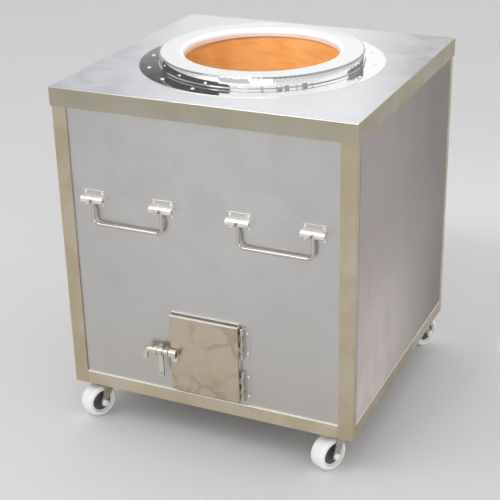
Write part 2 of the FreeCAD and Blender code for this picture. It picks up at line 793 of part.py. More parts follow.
def swept_rod(radius, path, start, along):
    """Round bar bent along a path that starts at a point in a direction."""
    section = Part.Wire(Part.makeCircle(radius, start, along))
    return Part.Wire(path).makePipeShell([section], True, False)


def latch_bolt():
    """Round bolt, drawn back clear of the door, with its left end bent down as a pull."""
    y = proud(BOLT_STAND)
    z = BOLT_Z
    end_x = BOLT_BEND_X - BOLT_BEND
    slant = BOLT_BEND * math.sqrt(0.5)
    tip = Vector(BOLT_TIP_X, y, z)
    bend_start = Vector(BOLT_BEND_X, y, z)
    bend_middle = Vector(BOLT_BEND_X - slant, y, z - BOLT_BEND + slant)
    bend_end = Vector(end_x, y, z - BOLT_BEND)
    foot = Vector(end_x, y, z - BOLT_BEND - BOLT_PULL)
    path = [line(tip, bend_start), arc(bend_start, bend_middle, bend_end), line(bend_end, foot)]
    bolt = swept_rod(BOLT_RADIUS, path, tip, X_AXIS * -1)
    left_x = LEVER_X0 - LEVER_SIDE_CLEAR - BOLT_COLLAR_WIDTH
    right_x = LEVER_X1 + LEVER_SIDE_CLEAR
    for x in (left_x, right_x):
        bolt = bolt.fuse(rod(BOLT_COLLAR_RADIUS, Vector(x, y, z), X_AXIS, BOLT_COLLAR_WIDTH))
    return bolt


def latch_lever():
    """Flat hasp that hangs from an eye on the bolt, with a padlock hole near its foot."""
    y = proud(BOLT_STAND)
    z = BOLT_Z
    axis = Vector(LEVER_X0, y, z)
    eye = BOLT_RADIUS + LEVER_EYE_WALL
    half = LEVER_THICK / 2
    arm = box(LEVER_X0, LEVER_X1, y - half, y + half, z - LEVER_LENGTH, z)
    foot_edges = [edge for edge in arm.Edges if abs(edge.CenterOfMass.z - z + LEVER_LENGTH) < half]
    corners_y = [edge for edge in foot_edges if abs(edge.CenterOfMass.y - y) < half / 2]
    arm = arm.makeFillet(LEVER_FOOT_RADIUS, corners_y)
    hole_at = Vector((LEVER_X0 + LEVER_X1) / 2, y - half, z - LEVER_LENGTH + LEVER_HOLE_RISE)
    arm = arm.cut(rod(LEVER_HOLE_RADIUS, hole_at, Y_AXIS, LEVER_THICK))
    lever = arm.fuse(rod(eye, axis, X_AXIS, LEVER_WIDTH))
    return lever.cut(rod(BOLT_RADIUS + RUNNING_CLEAR, axis, X_AXIS, LEVER_WIDTH))


# Handles


def leg_places(centre_x):
    """X of the two legs of a handle."""
    return (centre_x - HANDLE_SPAN / 2, centre_x + HANDLE_SPAN / 2)


def drop_handle(centre_x):
    """Back handle: bent rod whose legs end in cross pins, hanging from its pivots."""
    y = PANEL_Y + BRACKET_STAND
    left, right = leg_places(centre_x)
    bar_z = PIVOT_Z - HANDLE_DROP
    bend_z = bar_z + HANDLE_BEND
    slant = HANDLE_BEND * (1 - math.sqrt(0.5))
    start = Vector(left, y, PIVOT_Z)
    end = Vector(right, y, PIVOT_Z)
    left_leg = Vector(left, y, bend_z)
    left_middle = Vector(left + slant, y, bar_z + slant)
    left_bar = Vector(left + HANDLE_BEND, y, bar_z)
    right_bar = Vector(right - HANDLE_BEND, y, bar_z)
    right_middle = Vector(right - slant, y, bar_z + slant)
    right_leg = Vector(right, y, bend_z)
    path = [
        line(start, left_leg),
        arc(left_leg, left_middle, left_bar),
        line(left_bar, right_bar),
        arc(right_bar, right_middle, right_leg),
        line(right_leg, end),
    ]
    handle = swept_rod(HANDLE_ROD_RADIUS, path, start, Z_AXIS * -1)
    for x in (left, right):
        pin_start = Vector(x - BRACKET_WIDTH / 2, y, PIVOT_Z)
        handle = handle.fuse(rod(HANDLE_PIN_RADIUS, pin_start, X_AXIS, BRACKET_WIDTH))
    return handle.removeSplitter()


def handle_bracket(x):
    """Back bracket: riveted plate with a barrel for a leg's cross pin, slotted for the leg's swing."""
    half = BRACKET_WIDTH / 2
    axis_y = PANEL_Y + BRACKET_STAND
    plate_y = PANEL_Y + BRACKET_PLATE
    nose = BRACKET_NOSE_RADIUS
    axis = Vector(x - half, axis_y, PIVOT_Z)
    bracket = box(x - half, x + half, PANEL_Y, plate_y, PIVOT_Z - BRACKET_BELOW, PIVOT_Z + BRACKET_ABOVE)
    bracket = bracket.fuse(box(x - half, x + half, PANEL_Y, axis_y, PIVOT_Z - nose, PIVOT_Z + nose))
    bracket = bracket.fuse(rod(nose, axis, X_AXIS, BRACKET_WIDTH))
    bracket = bracket.cut(rod(HANDLE_PIN_RADIUS + RUNNING_CLEAR, axis, X_AXIS, BRACKET_WIDTH))
    slot = HANDLE_ROD_RADIUS + BRACKET_SLOT_CLEAR
    way = box(x - slot, x + slot, axis_y - slot, axis_y + nose, PIVOT_Z - nose, PIVOT_Z + slot)
    return bracket.cut(way).removeSplitter()


def handle_brackets():
    """All eight handle brackets."""
    solids = []
    for side in (FRONT, BACK):
        for centre_x in (-HANDLE_X, HANDLE_X):
            for x in leg_places(centre_x):
                solids.append(mirrored(handle_bracket(x), side_y=side))
    return group(solids)


def bracket_rivets(side, leg_x):
    """Four rivets in the corners of one bracket's plate."""
    x = BRACKET_WIDTH / 2 - BRACKET_RIVET_INSET
    levels = (PIVOT_Z + BRACKET_ABOVE - BRACKET_RIVET_INSET, PIVOT_Z - BRACKET_BELOW + BRACKET_RIVET_INSET)
    seat_y = side * (PANEL_Y + BRACKET_PLATE)
    heads = []
    for offset in (-x, x):
        for z in levels:
            heads.append(rivet(Vector(leg_x + offset, seat_y, z), Y_AXIS * side))
    return heads


def panel_rivets():
    """Rivets of the handle brackets, the hinges' fixed leaves and the bolt's guide."""
    heads = foot_rivets() + saddle_rivets(GUIDE_X0, GUIDE_LENGTH, 0)
    for side in (FRONT, BACK):
        for centre_x in (-HANDLE_X, HANDLE_X):
            for leg_x in leg_places(centre_x):
                heads += bracket_rivets(side, leg_x)
    return group(heads)


def door_rivets():
    """Rivets of the bolt's keeper."""
    return group(saddle_rivets(KEEPER_X0, KEEPER_LENGTH, DOOR_FACE))


# Castors


def castor_plates():
    """Top plates with the pressed swivel race, one in each corner."""
    x = CASTOR_PLATE_X / 2
    y = CASTOR_PLATE_Y / 2
    centre = Vector(CASTOR_X, CASTOR_Y, 0)
    plate = box(CASTOR_X - x, CASTOR_X + x, CASTOR_Y - y, CASTOR_Y + y, CASTOR_PLATE_Z, FRAME_Z)
    plate = drilled(plate, CASTOR_PLATE_Z, CASTOR_PLATE_THICK)
    race_foot = centre + Z_AXIS * RACE_Z
    bowl_radius = RACE_RADIUS - FORK_SHEET
    plate = plate.fuse(Part.makeCone(bowl_radius, RACE_RADIUS, RACE_HEIGHT, race_foot, Z_AXIS))
    bore = rod(KINGPIN_RADIUS + RUNNING_CLEAR, race_foot, Z_AXIS, FRAME_Z - RACE_Z)
    plate = plate.cut(bore)
    return group([mirrored(plate, *corner) for corner in corners()])


def castor_bolts():
    """Welded studs with nuts that hold the castor plates."""
    solids = []
    for place in castor_bolt_places():
        foot = place + Z_AXIS * (CASTOR_PLATE_Z - CASTOR_BOLT_TAIL)
        stud = rod(CASTOR_BOLT_RADIUS, foot, Z_AXIS, SHELF_Z - foot.z)
        nut_foot = place + Z_AXIS * (CASTOR_PLATE_Z - NUT_HEIGHT)
        solids.append(stud.fuse(hexagon(NUT_RADIUS, nut_foot, Z_AXIS, NUT_HEIGHT)))
    return group([mirrored(solid, *corner) for corner in corners() for solid in solids])


def castor_kingpins():
    """Headed pins that the forks swivel on."""
    head_z = FORK_CROWN_Z - SWIVEL_GAP - KINGPIN_HEAD
    head_foot = Vector(CASTOR_X, CASTOR_Y, head_z)
    pin = rod(KINGPIN_RADIUS, head_foot, Z_AXIS, FRAME_Z - head_z)
    pin = pin.fuse(rod(KINGPIN_HEAD_RADIUS, head_foot, Z_AXIS, KINGPIN_HEAD))
    return group([mirrored(pin, *corner) for corner in corners()])


def castor_fork():
    """Swivelling fork about the Z axis, trailing towards -Y, with the axle along X."""
    crown = rod(FORK_TOP_RADIUS, Vector(0, 0, FORK_CROWN_Z), Z_AXIS, FORK_SHEET)
    axle_y = -CASTOR_TRAIL
    eye = FORK_EYE_RADIUS
    fork = crown
    for x in (-FORK_OUTER_HALF, FORK_INNER_HALF):
        outline = [
            Vector(x, FORK_LEG_FRONT, FORK_TOP_Z),
            Vector(x, -FORK_LEG_BACK, FORK_TOP_Z),
            Vector(x, axle_y - eye, WHEEL_RADIUS),
            Vector(x, axle_y + eye, WHEEL_RADIUS),
            Vector(x, FORK_LEG_FRONT, FORK_CROWN_Z - FORK_LEG_DEPTH),
        ]
        leg = prism(outline, X_AXIS * FORK_SHEET)
        start = Vector(x, axle_y, WHEEL_RADIUS)
        leg = leg.fuse(rod(eye, start, X_AXIS, FORK_SHEET))
        fork = fork.fuse(leg.cut(rod(AXLE_RADIUS + HUB_FIT, start, X_AXIS, FORK_SHEET)))
    bore = rod(KINGPIN_RADIUS + RUNNING_CLEAR, Vector(0, 0, FORK_CROWN_Z), Z_AXIS, FORK_SHEET)
    return fork.cut(bore).removeSplitter()


def castor_axle():
    """Axle bolt along X with a nut at each end."""
    nut = NUT_HEIGHT
    half = FORK_OUTER_HALF + nut + AXLE_TAIL
    axle = rod(AXLE_RADIUS, Vector(-half, 0, 0), X_AXIS, 2 * half)
    for x in (-FORK_OUTER_HALF - nut, FORK_OUTER_HALF):
        axle = axle.fuse(hexagon(AXLE_NUT_RADIUS, Vector(x, 0, 0), X_AXIS, nut))
    return axle


def castor_wheel():
    """Solid wheel with rounded shoulders and a dished web, turned about the X axis."""
    half = WHEEL_WIDTH / 2
    web = half - WHEEL_DISH_DEPTH
    bore = HUB_RADIUS + HUB_FIT
    dish = WHEEL_DISH_RADIUS
    flare = dish + WHEEL_DISH_FLARE
    side = WHEEL_RADIUS - WHEEL_SHOULDER
    tread = half - WHEEL_SHOULDER
    edges = polyline([across(web, bore), across(web, dish), across(half, flare), across(half, side)])
    edges.append(quarter((tread, side), WHEEL_SHOULDER, 0, 90, across))
    edges.append(line(across(tread, WHEEL_RADIUS), across(-tread, WHEEL_RADIUS)))
    edges.append(quarter((-tread, side), WHEEL_SHOULDER, 90, 180, across))
    edges += polyline([
        across(-half, side),
        across(-half, flare),
        across(-web, dish),
        across(-web, bore),
        across(web, bore),
    ])
    return turned(edges, X_AXIS)


def wheel_hub():
    """Hub bush with a flange in each of the wheel's dishes."""
    half = FORK_INNER_HALF - HUB_END_GAP
    web = WHEEL_WIDTH / 2 - WHEEL_DISH_DEPTH
    rim = web + HUB_FLANGE_THICK
    bore = AXLE_RADIUS + RUNNING_CLEAR
    outline = [across(half, bore), across(half, HUB_RADIUS)]
    for side in (1, -1):
        flange = [
            across(side * rim, HUB_RADIUS),
            across(side * rim, HUB_FLANGE_RADIUS),
            across(side * web, HUB_FLANGE_RADIUS),
            across(side * web, HUB_RADIUS),
        ]
        outline += flange if side > 0 else flange[::-1]
    outline += [across(-half, HUB_RADIUS), across(-half, bore), across(half, bore)]
    return turned(polyline(outline), X_AXIS)


def castor_placement(side_x, side_y):
    """Where a castor stands, turned as it was left."""
    spot = Vector(side_x * CASTOR_X, side_y * CASTOR_Y, 0)
    turn = CASTOR_FRONT_TURN if side_y == FRONT else CASTOR_BACK_TURN
    return FreeCAD.Placement(spot, FreeCAD.Rotation(Z_AXIS, turn))


def castor_pieces():
    """Fork, axle, wheel and hub of each castor by name."""
    axle_spot = FreeCAD.Placement(Vector(0, -CASTOR_TRAIL, WHEEL_RADIUS), FreeCAD.Rotation())
    pieces = {}
    for side_x, side_y in corners():
        place = castor_placement(side_x, side_y)
        suffix = "front" if side_y == FRONT else "back"
        suffix += "_left" if side_x == LEFT else "_right"
        turning = {"castor_axle": castor_axle(), "castor_wheel": castor_wheel(), "wheel_hub": wheel_hub()}
        for name, shape in turning.items():
            shape.Placement = place.multiply(axle_spot).multiply(shape.Placement)
            pieces[f"{name}_{suffix}"] = shape
        fork = castor_fork()
        fork.Placement = place
        pieces[f"castor_fork_{suffix}"] = fork
    return pieces


def frame_pieces():
    """Posts and bottom rails by name."""
    pieces = {
        "rail_front": mirrored(back_rail(), side_y=FRONT),
        "rail_back": back_rail(),
        "rail_left": mirrored(right_rail(), LEFT),
        "rail_right": right_rail(),
    }
    for side_x, side_y in corners():
        name = "post_front" if side_y == FRONT else "post_back"
        name += "_left" if side_x == LEFT else "_right"
        pieces[name] = mirrored(corner_post(), side_x, side_y)
    return pieces


def handle_pieces():
    """The four drop handles by name."""
    return {
        "handle_front_left": mirrored(drop_handle(-HANDLE_X), side_y=FRONT),
        "handle_front_right": mirrored(drop_handle(HANDLE_X), side_y=FRONT),
        "handle_back_left": drop_handle(-HANDLE_X),
        "handle_back_right": drop_handle(HANDLE_X),
    }


def all_pieces():
    """Every piece of the tandoor by node name."""
    pieces = {
        "top_cap": top_cap(),
        "mouth_flange": mouth_flange(),
        "mouth_ring": mouth_ring(),
        "flange_rivets": flange_rivets(),
        "front_panel": front_panel(),
        "back_panel": plain_panel(),
        "left_panel": mirrored(side_panel(), LEFT),
        "right_panel": side_panel(),
        "top_frame": top_frame(),
        "base_plate": base_plate(),
        "corner_plates": corner_plates(),
        "hearth_bed": hearth_bed(),
        "clay_pot": clay_pot(),
        "pot_base": pot_base(),
        "insulation_fill": insulation_fill(),
        "air_tunnel": air_tunnel(),
        "fire_grate": fire_grate(),
        "door_collar": door_collar(),
        "ash_door": ash_door(),
        "door_hinge_leaves": group([moving_leaf(z) for z in HINGE_CENTRES]),
        "fixed_hinge_leaves": group([fixed_leaf(z) for z in HINGE_CENTRES]),
        "hinge_pins": group([hinge_pin(z) for z in HINGE_CENTRES]),
        "latch_guide": bolt_saddle(GUIDE_X0, GUIDE_LENGTH, 0, RUNNING_CLEAR),
        "latch_keeper": bolt_saddle(KEEPER_X0, KEEPER_LENGTH, DOOR_FACE, KEEPER_CLEAR),
        "latch_bolt": latch_bolt(),
        "latch_lever": latch_lever(),
        "handle_brackets": handle_brackets(),
        "panel_rivets": panel_rivets(),
        "door_rivets": door_rivets(),
        "castor_plates": castor_plates(),
        "castor_bolts": castor_bolts(),
        "castor_kingpins": castor_kingpins(),
    }
    pieces.update(frame_pieces())
    pieces.update(handle_pieces())
    pieces.update(castor_pieces())
    return pieces


os.makedirs("parts", exist_ok=True)
for node, piece in all_pieces().items():
    piece.exportStep(f"parts/{node}.step")
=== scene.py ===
"""Looks of a stainless steel charcoal tandoor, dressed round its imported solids."""

import json
import logging
import math
from collections.abc import Callable
from dataclasses import dataclass
from enum import Enum

import bmesh
import bpy
from mathutils import Matrix, Vector


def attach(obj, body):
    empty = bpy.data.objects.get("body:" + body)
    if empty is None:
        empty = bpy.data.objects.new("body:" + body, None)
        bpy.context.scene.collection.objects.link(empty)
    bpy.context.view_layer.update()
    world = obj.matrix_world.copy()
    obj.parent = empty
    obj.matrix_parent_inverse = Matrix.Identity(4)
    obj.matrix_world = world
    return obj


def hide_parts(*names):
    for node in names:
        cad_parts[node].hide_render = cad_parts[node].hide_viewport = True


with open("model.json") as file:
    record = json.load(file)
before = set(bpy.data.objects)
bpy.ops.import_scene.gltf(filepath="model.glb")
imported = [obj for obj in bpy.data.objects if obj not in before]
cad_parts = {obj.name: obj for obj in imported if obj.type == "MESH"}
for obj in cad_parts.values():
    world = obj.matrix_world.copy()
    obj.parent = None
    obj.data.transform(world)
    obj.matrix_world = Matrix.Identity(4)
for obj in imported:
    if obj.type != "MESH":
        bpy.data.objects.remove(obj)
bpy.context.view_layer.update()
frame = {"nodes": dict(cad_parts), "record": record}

LOG = logging.getLogger("tandoor")

Colour = tuple[float, float, float]
Point = tuple[float, float, float]
Band = tuple[float, float, float]
Span = tuple[float, float]
FaceTest = Callable[[bmesh.types.BMFace], bool]

MM = 0.001
CORNERS = ("front_left", "front_right", "back_left", "back_right")


# Shader maths

NOISE_MIDDLE = 0.5
STROKE_DETAIL = 4.0


@dataclass(frozen=True)
class Pattern:
    """A fractal noise: features per metre, octaves, scale of each axis and how far it folds over."""

    scale: float
    detail: float
    stretch: Point | None = None
    twist: float = 0.0


class Grain(Enum):
    """Direction of a sheet's brush strokes, as the scale of each axis."""

    ALONG_X = (0.02, 1.0, 1.0)
    ALONG_Y = (1.0, 0.02, 1.0)
    ALONG_Z = (1.0, 1.0, 0.02)
    EVEN = (1.0, 1.0, 1.0)

    def strokes(self, scale: float) -> Pattern:
        """Brush strokes in this direction, so many to the metre."""
        return Pattern(scale, STROKE_DETAIL, self.value)


class Signal:
    """A shader socket that takes part in arithmetic; each operation adds one Math node."""

    def __init__(self, graph: "Graph", socket: bpy.types.NodeSocket) -> None:
        """Keeps the socket with the graph that it belongs to."""
        self.graph = graph
        self.socket = socket

    def __add__(self, other: "Signal | float") -> "Signal":
        """Sum."""
        return self.graph.math("ADD", self, other)

    def __radd__(self, other: float) -> "Signal":
        """Sum with a number on the left."""
        return self.graph.math("ADD", other, self)

    def __sub__(self, other: "Signal | float") -> "Signal":
        """Difference."""
        return self.graph.math("SUBTRACT", self, other)

    def __rsub__(self, other: float) -> "Signal":
        """Difference with a number on the left."""
        return self.graph.math("SUBTRACT", other, self)

    def __mul__(self, other: "Signal | float") -> "Signal":
        """Product."""
        return self.graph.math("MULTIPLY", self, other)

    def __rmul__(self, other: float) -> "Signal":
        """Product with a number on the left."""
        return self.graph.math("MULTIPLY", other, self)

    def __abs__(self) -> "Signal":
        """Size without sign."""
        return self.graph.math("ABSOLUTE", self)

    def swing(self, share: float) -> "Signal":
        """A noise's swing to both sides of its middle, times a share."""
        return (self - NOISE_MIDDLE) * share

    def step(self, low: float, high: float) -> "Signal":
        """Smooth rise from 0 to 1.

        Args:
            low: value where the rise starts.
            high: value where it ends; below low for a fall.

        Returns:
            The eased share between the two.
        """
        settings = {"interpolation_type": "SMOOTHSTEP"}
        sockets = {"Value": self, "From Min": low, "From Max": high}
        return self.graph.out(self.graph.add("ShaderNodeMapRange", settings, sockets))

    def within(self, low: float, high: float, soft: float) -> "Signal":
        """Share that is 1 between two values and 0 outside, with soft edges inside the ends."""
        return self.step(low, low + soft) * self.step(high, high - soft)


class Graph:
    """The node tree of one material or of the world."""

    def __init__(self, tree: bpy.types.NodeTree) -> None:
        """Starts from an empty tree."""
        self.tree = tree
        tree.nodes.clear()

    def add(self, kind: str, settings: dict | None = None, sockets: dict | None = None) -> bpy.types.Node:
        """Adds any node.

        Args:
            kind: the node's type.
            settings: properties to set first, such as a Math node's operation.
            sockets: values or links by input name or index.

        Returns:
            The new node.
        """
        node = self.tree.nodes.new(kind)
        for key, value in (settings or {}).items():
            setattr(node, key, value)
        for key, value in (sockets or {}).items():
            self.feed(node.inputs[key], value)
        return node

    def feed(self, target: bpy.types.NodeSocket, value: "Signal | float | Colour") -> None:
        """Links or sets one input.

        Args:
            target: the input socket.
            value: a signal to link, or a number or colour to set.
        """
        if isinstance(value, Signal):
            self.tree.links.new(value.socket, target)
        elif isinstance(value, tuple) and target.type == "RGBA":
            target.default_value = (*value, 1.0)
        else:
            target.default_value = value

    def out(self, node: bpy.types.Node, key: str | int = 0) -> Signal:
        """An output of a node as a signal."""
        return Signal(self, node.outputs[key])

    def math(self, operation: str, *values: "Signal | float") -> Signal:
        """A Math node on values."""
        return self.out(self.add("ShaderNodeMath", {"operation": operation}, dict(enumerate(values))))

    def mix(self, factor: "Signal | float", low: "Signal | Colour", high: "Signal | Colour") -> Signal:
        """Blend of two colours.

        Args:
            factor: 0 gives the first, 1 the second.
            low: first colour.
            high: second colour.

        Returns:
            The blended colour.
        """
        factor_in, low_in, high_in, colour_out = 0, 6, 7, 2
        sockets = {factor_in: factor, low_in: low, high_in: high}
        return self.out(self.add("ShaderNodeMix", {"data_type": "RGBA"}, sockets), colour_out)

    def place(self) -> Signal:
        """Point of the surface in the frame, carried along by a moving piece."""
        return self.out(self.add("ShaderNodeTexCoord"), "Object")

    def axis(self, name: str) -> Signal:
        """One coordinate of the surface point, in metres."""
        return self.out(self.add("ShaderNodeSeparateXYZ", None, {0: self.place()}), name)

    def along(self, way: Point) -> Signal:
        """Distance of the surface point along a direction, in metres."""
        node = self.add("ShaderNodeVectorMath", {"operation": "DOT_PRODUCT"}, {0: self.place(), 1: way})
        return self.out(node, "Value")

    def away(self, centre: Point) -> Signal:
        """Distance of the surface point from a point, in metres."""
        node = self.add("ShaderNodeVectorMath", {"operation": "DISTANCE"}, {0: self.place(), 1: centre})
        return self.out(node, "Value")

    def stretched(self, scale: Point) -> Signal:
        """Surface point with each axis scaled."""
        return self.out(self.add("ShaderNodeMapping", None, {"Vector": self.place(), "Scale": scale}))

    def noise(self, pattern: Pattern) -> Signal:
        """Fractal noise.

        Args:
            pattern: its scale, detail, stretch and twist.

        Returns:
            Noise around its middle.
        """
        sockets = {
            "Vector": self.stretched(pattern.stretch) if pattern.stretch else self.place(),
            "Scale": pattern.scale,
            "Detail": pattern.detail,
            "Distortion": pattern.twist,
        }
        return self.out(self.add("ShaderNodeTexNoise", None, sockets))

    def cells(self, scale: float) -> Signal:
        """Distance to the nearest of many scattered points, so many to the metre."""
        sockets = {"Vector": self.place(), "Scale": scale}
        return self.out(self.add("ShaderNodeTexVoronoi", None, sockets), "Distance")

    def bump(self, height: Signal, depth: float, strength: float = 1.0) -> Signal:
        """Normal bent by a height; depth is in metres for a height of one."""
        sockets = {"Height": height, "Distance": depth, "Strength": strength}
        return self.out(self.add("ShaderNodeBump", None, sockets))

    def surface(self, sockets: dict) -> None:
        """Ends a material in one Principled shader with these inputs."""
        shader = self.add("ShaderNodeBsdfPrincipled", None, sockets)
        self.add("ShaderNodeOutputMaterial", None, {"Surface": self.out(shader)})


def dimmed(colour: Colour, share: float) -> Colour:
    """A colour at a share of its brightness."""
    return tuple(share * part for part in colour)


# Finishes


@dataclass(frozen=True)
class Finish:
    """A finish that makes one material the first time it is asked for."""

    name: str

    def material(self) -> bpy.types.Material:
        """Finds or makes the finish's material.

        Returns:
            The material of the finish's name.
        """
        made = bpy.data.materials.get(self.name)
        if made is None:
            made = bpy.data.materials.new(self.name)
            made.use_nodes = True
            self.draw(Graph(made.node_tree))
        return made

    def draw(self, graph: Graph) -> None:
        """Draws the finish's nodes."""
        raise NotImplementedError


@dataclass(frozen=True)
class PaintedFade:
    """A slow change of tint across a sheet, painted to stand for light and shade."""

    way: Point
    span: Span
    tint: Colour


@dataclass(frozen=True)
class PaintedReflection:
    """A soft round patch of another tint, painted to stand for a reflection."""

    centre: Point
    radius: float
    tint: Colour


@dataclass(frozen=True)
class BrushedSteel(Finish):
    """Satin stainless steel with fine brush strokes, wiped patches and heat or oil stains, and light and
    shade painted in as slow fades and round reflections.
    """

    tint: Colour
    stain: Colour
    grain: Grain
    roughness: float = 0.34
    shade: float = 0.80
    strokes: float = 520.0
    stroke_edge: Span = (0.66, 0.34)
    stroke_share: float = 0.10
    stroke_rough: float = 0.07
    stroke_depth: float = 0.004 * MM
    smear: Pattern = Pattern(9.0, 5.0, (1.2, 1.2, 0.5), 0.7)
    smear_edge: Span = (0.44, 0.70)
    smear_share: float = 0.12
    smear_rough: float = 0.12
    blotch: Pattern = Pattern(7.0, 6.0, twist=1.2)
    stain_edge: Span = (0.38, 0.66)
    stain_share: float = 0.4
    stain_rough: float = 0.06
    swell: Pattern = Pattern(3.2, 1.0)
    sway: float = 0.5 * MM
    # Painted light and shade: slow fades of tint and round painted reflections
    painted_fades: tuple[PaintedFade, ...] = ()
    patches: tuple[PaintedReflection, ...] = ()

    def draw(self, graph: Graph) -> None:
        """Draws strokes, wiped patches, stains, painted light and shade, and the slight sway of a thin
        sheet.

        Args:
            graph: the material's empty node tree.
        """
        stroke = graph.noise(self.grain.strokes(self.strokes))
        smear = graph.noise(self.smear)
        stained = graph.noise(self.blotch).step(*self.stain_edge) * self.stain_share
        base = self.tint
        # Painted light and shade laid into the tint
        for fade in self.painted_fades:
            base = graph.mix(graph.along(fade.way).step(*fade.span), base, fade.tint)
        for patch in self.patches:
            base = graph.mix(graph.away(patch.centre).step(patch.radius, 0.0), base, patch.tint)
        dark = dimmed(self.tint, self.shade)
        base = graph.mix(stained, base, self.stain)
        base = graph.mix(smear.step(*self.smear_edge) * self.smear_share, base, dark)
        base = graph.mix(stroke.step(*self.stroke_edge) * self.stroke_share, base, dark)
        rough = self.roughness + stroke.swing(self.stroke_rough) + smear.swing(self.smear_rough)
        height = graph.noise(self.swell) * self.sway + stroke * self.stroke_depth
        graph.surface({
            "Base Color": base,
            "Roughness": rough + stained * self.stain_rough,
            "Metallic": 1.0,
            "Normal": graph.bump(height, 1.0),
        })


@dataclass(frozen=True)
class PolishedSteel(Finish):
    """Polished steel with hairline buffing marks and a few finger marks."""

    tint: Colour
    roughness: float = 0.05
    metal: float = 1.0
    hair: Pattern = Pattern(900.0, 3.0, (1.0, 0.25, 1.0))
    hair_rough: float = 0.04
    marks: Pattern = Pattern(26.0, 4.0, twist=0.8)
    mark_edge: Span = (0.58, 0.80)
    mark_share: float = 0.6
    mark_shade: float = 0.90
    mark_rough: float = 0.10
    swell: Pattern = Pattern(14.0, 2.0)
    sway: float = 0.1 * MM

    def draw(self, graph: Graph) -> None:
        """Draws buffing marks, finger marks and the spun sheet's slight waves.

        Args:
            graph: the material's empty node tree.
        """
        hair = graph.noise(self.hair)
        mark = graph.noise(self.marks).step(*self.mark_edge)
        graph.surface({
            "Base Color": graph.mix(mark * self.mark_share, self.tint, dimmed(self.tint, self.mark_shade)),
            "Roughness": self.roughness + mark * self.mark_rough + hair.swing(self.hair_rough),
            "Metallic": self.metal,
            "Normal": graph.bump(graph.noise(self.swell) * self.sway, 1.0),
        })


@dataclass(frozen=True)
class ZincSteel(Finish):
    """Plated hardware with a grainy skin, patched with grime."""

    tint: Colour
    grime: Colour
    roughness: float = 0.32
    skin: Pattern = Pattern(240.0, 5.0)
    skin_rough: float = 0.18
    skin_depth: float = 0.06 * MM
    skin_relief: float = 0.6
    dirt: Pattern = Pattern(60.0, 5.0, twist=0.7)
    dirt_edge: Span = (0.50, 0.78)
    dirt_share: float = 0.55
    dirt_rough: float = 0.22

    def draw(self, graph: Graph) -> None:
        """Draws the plating and its grime.

        Args:
            graph: the material's empty node tree.
        """
        skin = graph.noise(self.skin)
        dirt = graph.noise(self.dirt).step(*self.dirt_edge)
        graph.surface({
            "Base Color": graph.mix(dirt * self.dirt_share, self.tint, self.grime),
            "Roughness": self.roughness + dirt * self.dirt_rough + skin.swing(self.skin_rough),
            "Metallic": 1.0,
            "Normal": graph.bump(skin, self.skin_depth, self.skin_relief),
        })


@dataclass(frozen=True)
class FiredClay(Finish):
    """Hand-smoothed terracotta, paler where it was rubbed and sooty towards the fire."""

    tint: Colour
    pale: Colour
    soot: Colour
    soot_span: Span
    soot_least: float = 0.55
    soot_mottle: float = 0.7
    roughness: float = 0.86
    mottle: Pattern = Pattern(11.0, 6.0, twist=0.5)
    mottle_edge: Span = (0.36, 0.66)
    mottle_height: float = 0.5
    streak: Pattern = Pattern(34.0, 4.0, (0.35, 0.35, 1.6), 0.9)
    streak_edge: Span = (0.44, 0.68)
    streak_share: float = 0.4
    streak_shade: float = 0.78
    streak_height: float = 0.7
    grit: Pattern = Pattern(520.0, 3.0)
    grit_edge: Span = (0.60, 0.74)
    grit_share: float = 0.30
    grit_shade: float = 0.55
    grit_rough: float = 0.12
    grit_height: float = 0.10
    depth: float = 2.2 * MM
    relief: float = 0.7

    def draw(self, graph: Graph) -> None:
        """Draws the clay's colour patches, wiped streaks, grit and soot.

        Args:
            graph: the material's empty node tree.
        """
        mottle = graph.noise(self.mottle)
        streak = graph.noise(self.streak)
        grit = graph.noise(self.grit)
        wiped = streak.step(*self.streak_edge) * self.streak_share
        sanded = grit.step(*self.grit_edge) * self.grit_share
        clay = graph.mix(mottle.step(*self.mottle_edge), self.tint, self.pale)
        clay = graph.mix(wiped, clay, dimmed(self.tint, self.streak_shade))
        clay = graph.mix(sanded, clay, dimmed(self.tint, self.grit_shade))
        soot = graph.axis("Z").step(*self.soot_span) * (self.soot_least + mottle * self.soot_mottle)
        height = streak * self.streak_height + grit * self.grit_height + mottle * self.mottle_height
        graph.surface({
            "Base Color": graph.mix(soot, clay, self.soot),
            "Roughness": self.roughness + grit.swing(self.grit_rough),
            "Normal": graph.bump(height, self.depth, self.relief),
        })


@dataclass(frozen=True)
class CastIron(Finish):
    """Sand-cast iron, dusted with pale ash."""

    tint: Colour
    ash: Colour
    roughness: float = 0.78
    metal: float = 0.35
    sand: Pattern = Pattern(380.0, 5.0)
    sand_rough: float = 0.25
    sand_depth: float = 0.4 * MM
    sand_relief: float = 0.8
    dust: Pattern = Pattern(38.0, 6.0)
    dust_edge: Span = (0.46, 0.70)
    dust_share: float = 0.45

    def draw(self, graph: Graph) -> None:
        """Draws the cast skin and the ash.

        Args:
            graph: the material's empty node tree.
        """
        sand = graph.noise(self.sand)
        dust = graph.noise(self.dust).step(*self.dust_edge)
        graph.surface({
            "Base Color": graph.mix(dust * self.dust_share, self.tint, self.ash),
            "Roughness": self.roughness + sand.swing(self.sand_rough),
            "Metallic": self.metal,
            "Normal": graph.bump(sand, self.sand_depth, self.sand_relief),
        })


@dataclass(frozen=True)
class RoughMineral(Finish):
    """Cast refractory or packed wool: a dull, uneven mineral surface."""

    tint: Colour
    shade: Colour
    lumps: Pattern
    specks: float
    roughness: float = 0.90
    lump_edge: Span = (0.35, 0.68)
    lump_rough: float = 0.12
    speck_height: float = 0.3
    depth: float = 3.0 * MM
    relief: float = 0.7

    def draw(self, graph: Graph) -> None:
        """Draws lumps and specks.

        Args:
            graph: the material's empty node tree.
        """
        lump = graph.noise(self.lumps)
        height = lump + graph.cells(self.specks) * self.speck_height
        graph.surface({
            "Base Color": graph.mix(lump.step(*self.lump_edge), self.shade, self.tint),
            "Roughness": self.roughness + lump.swing(self.lump_rough),
            "Normal": graph.bump(height, self.depth, self.relief),
        })


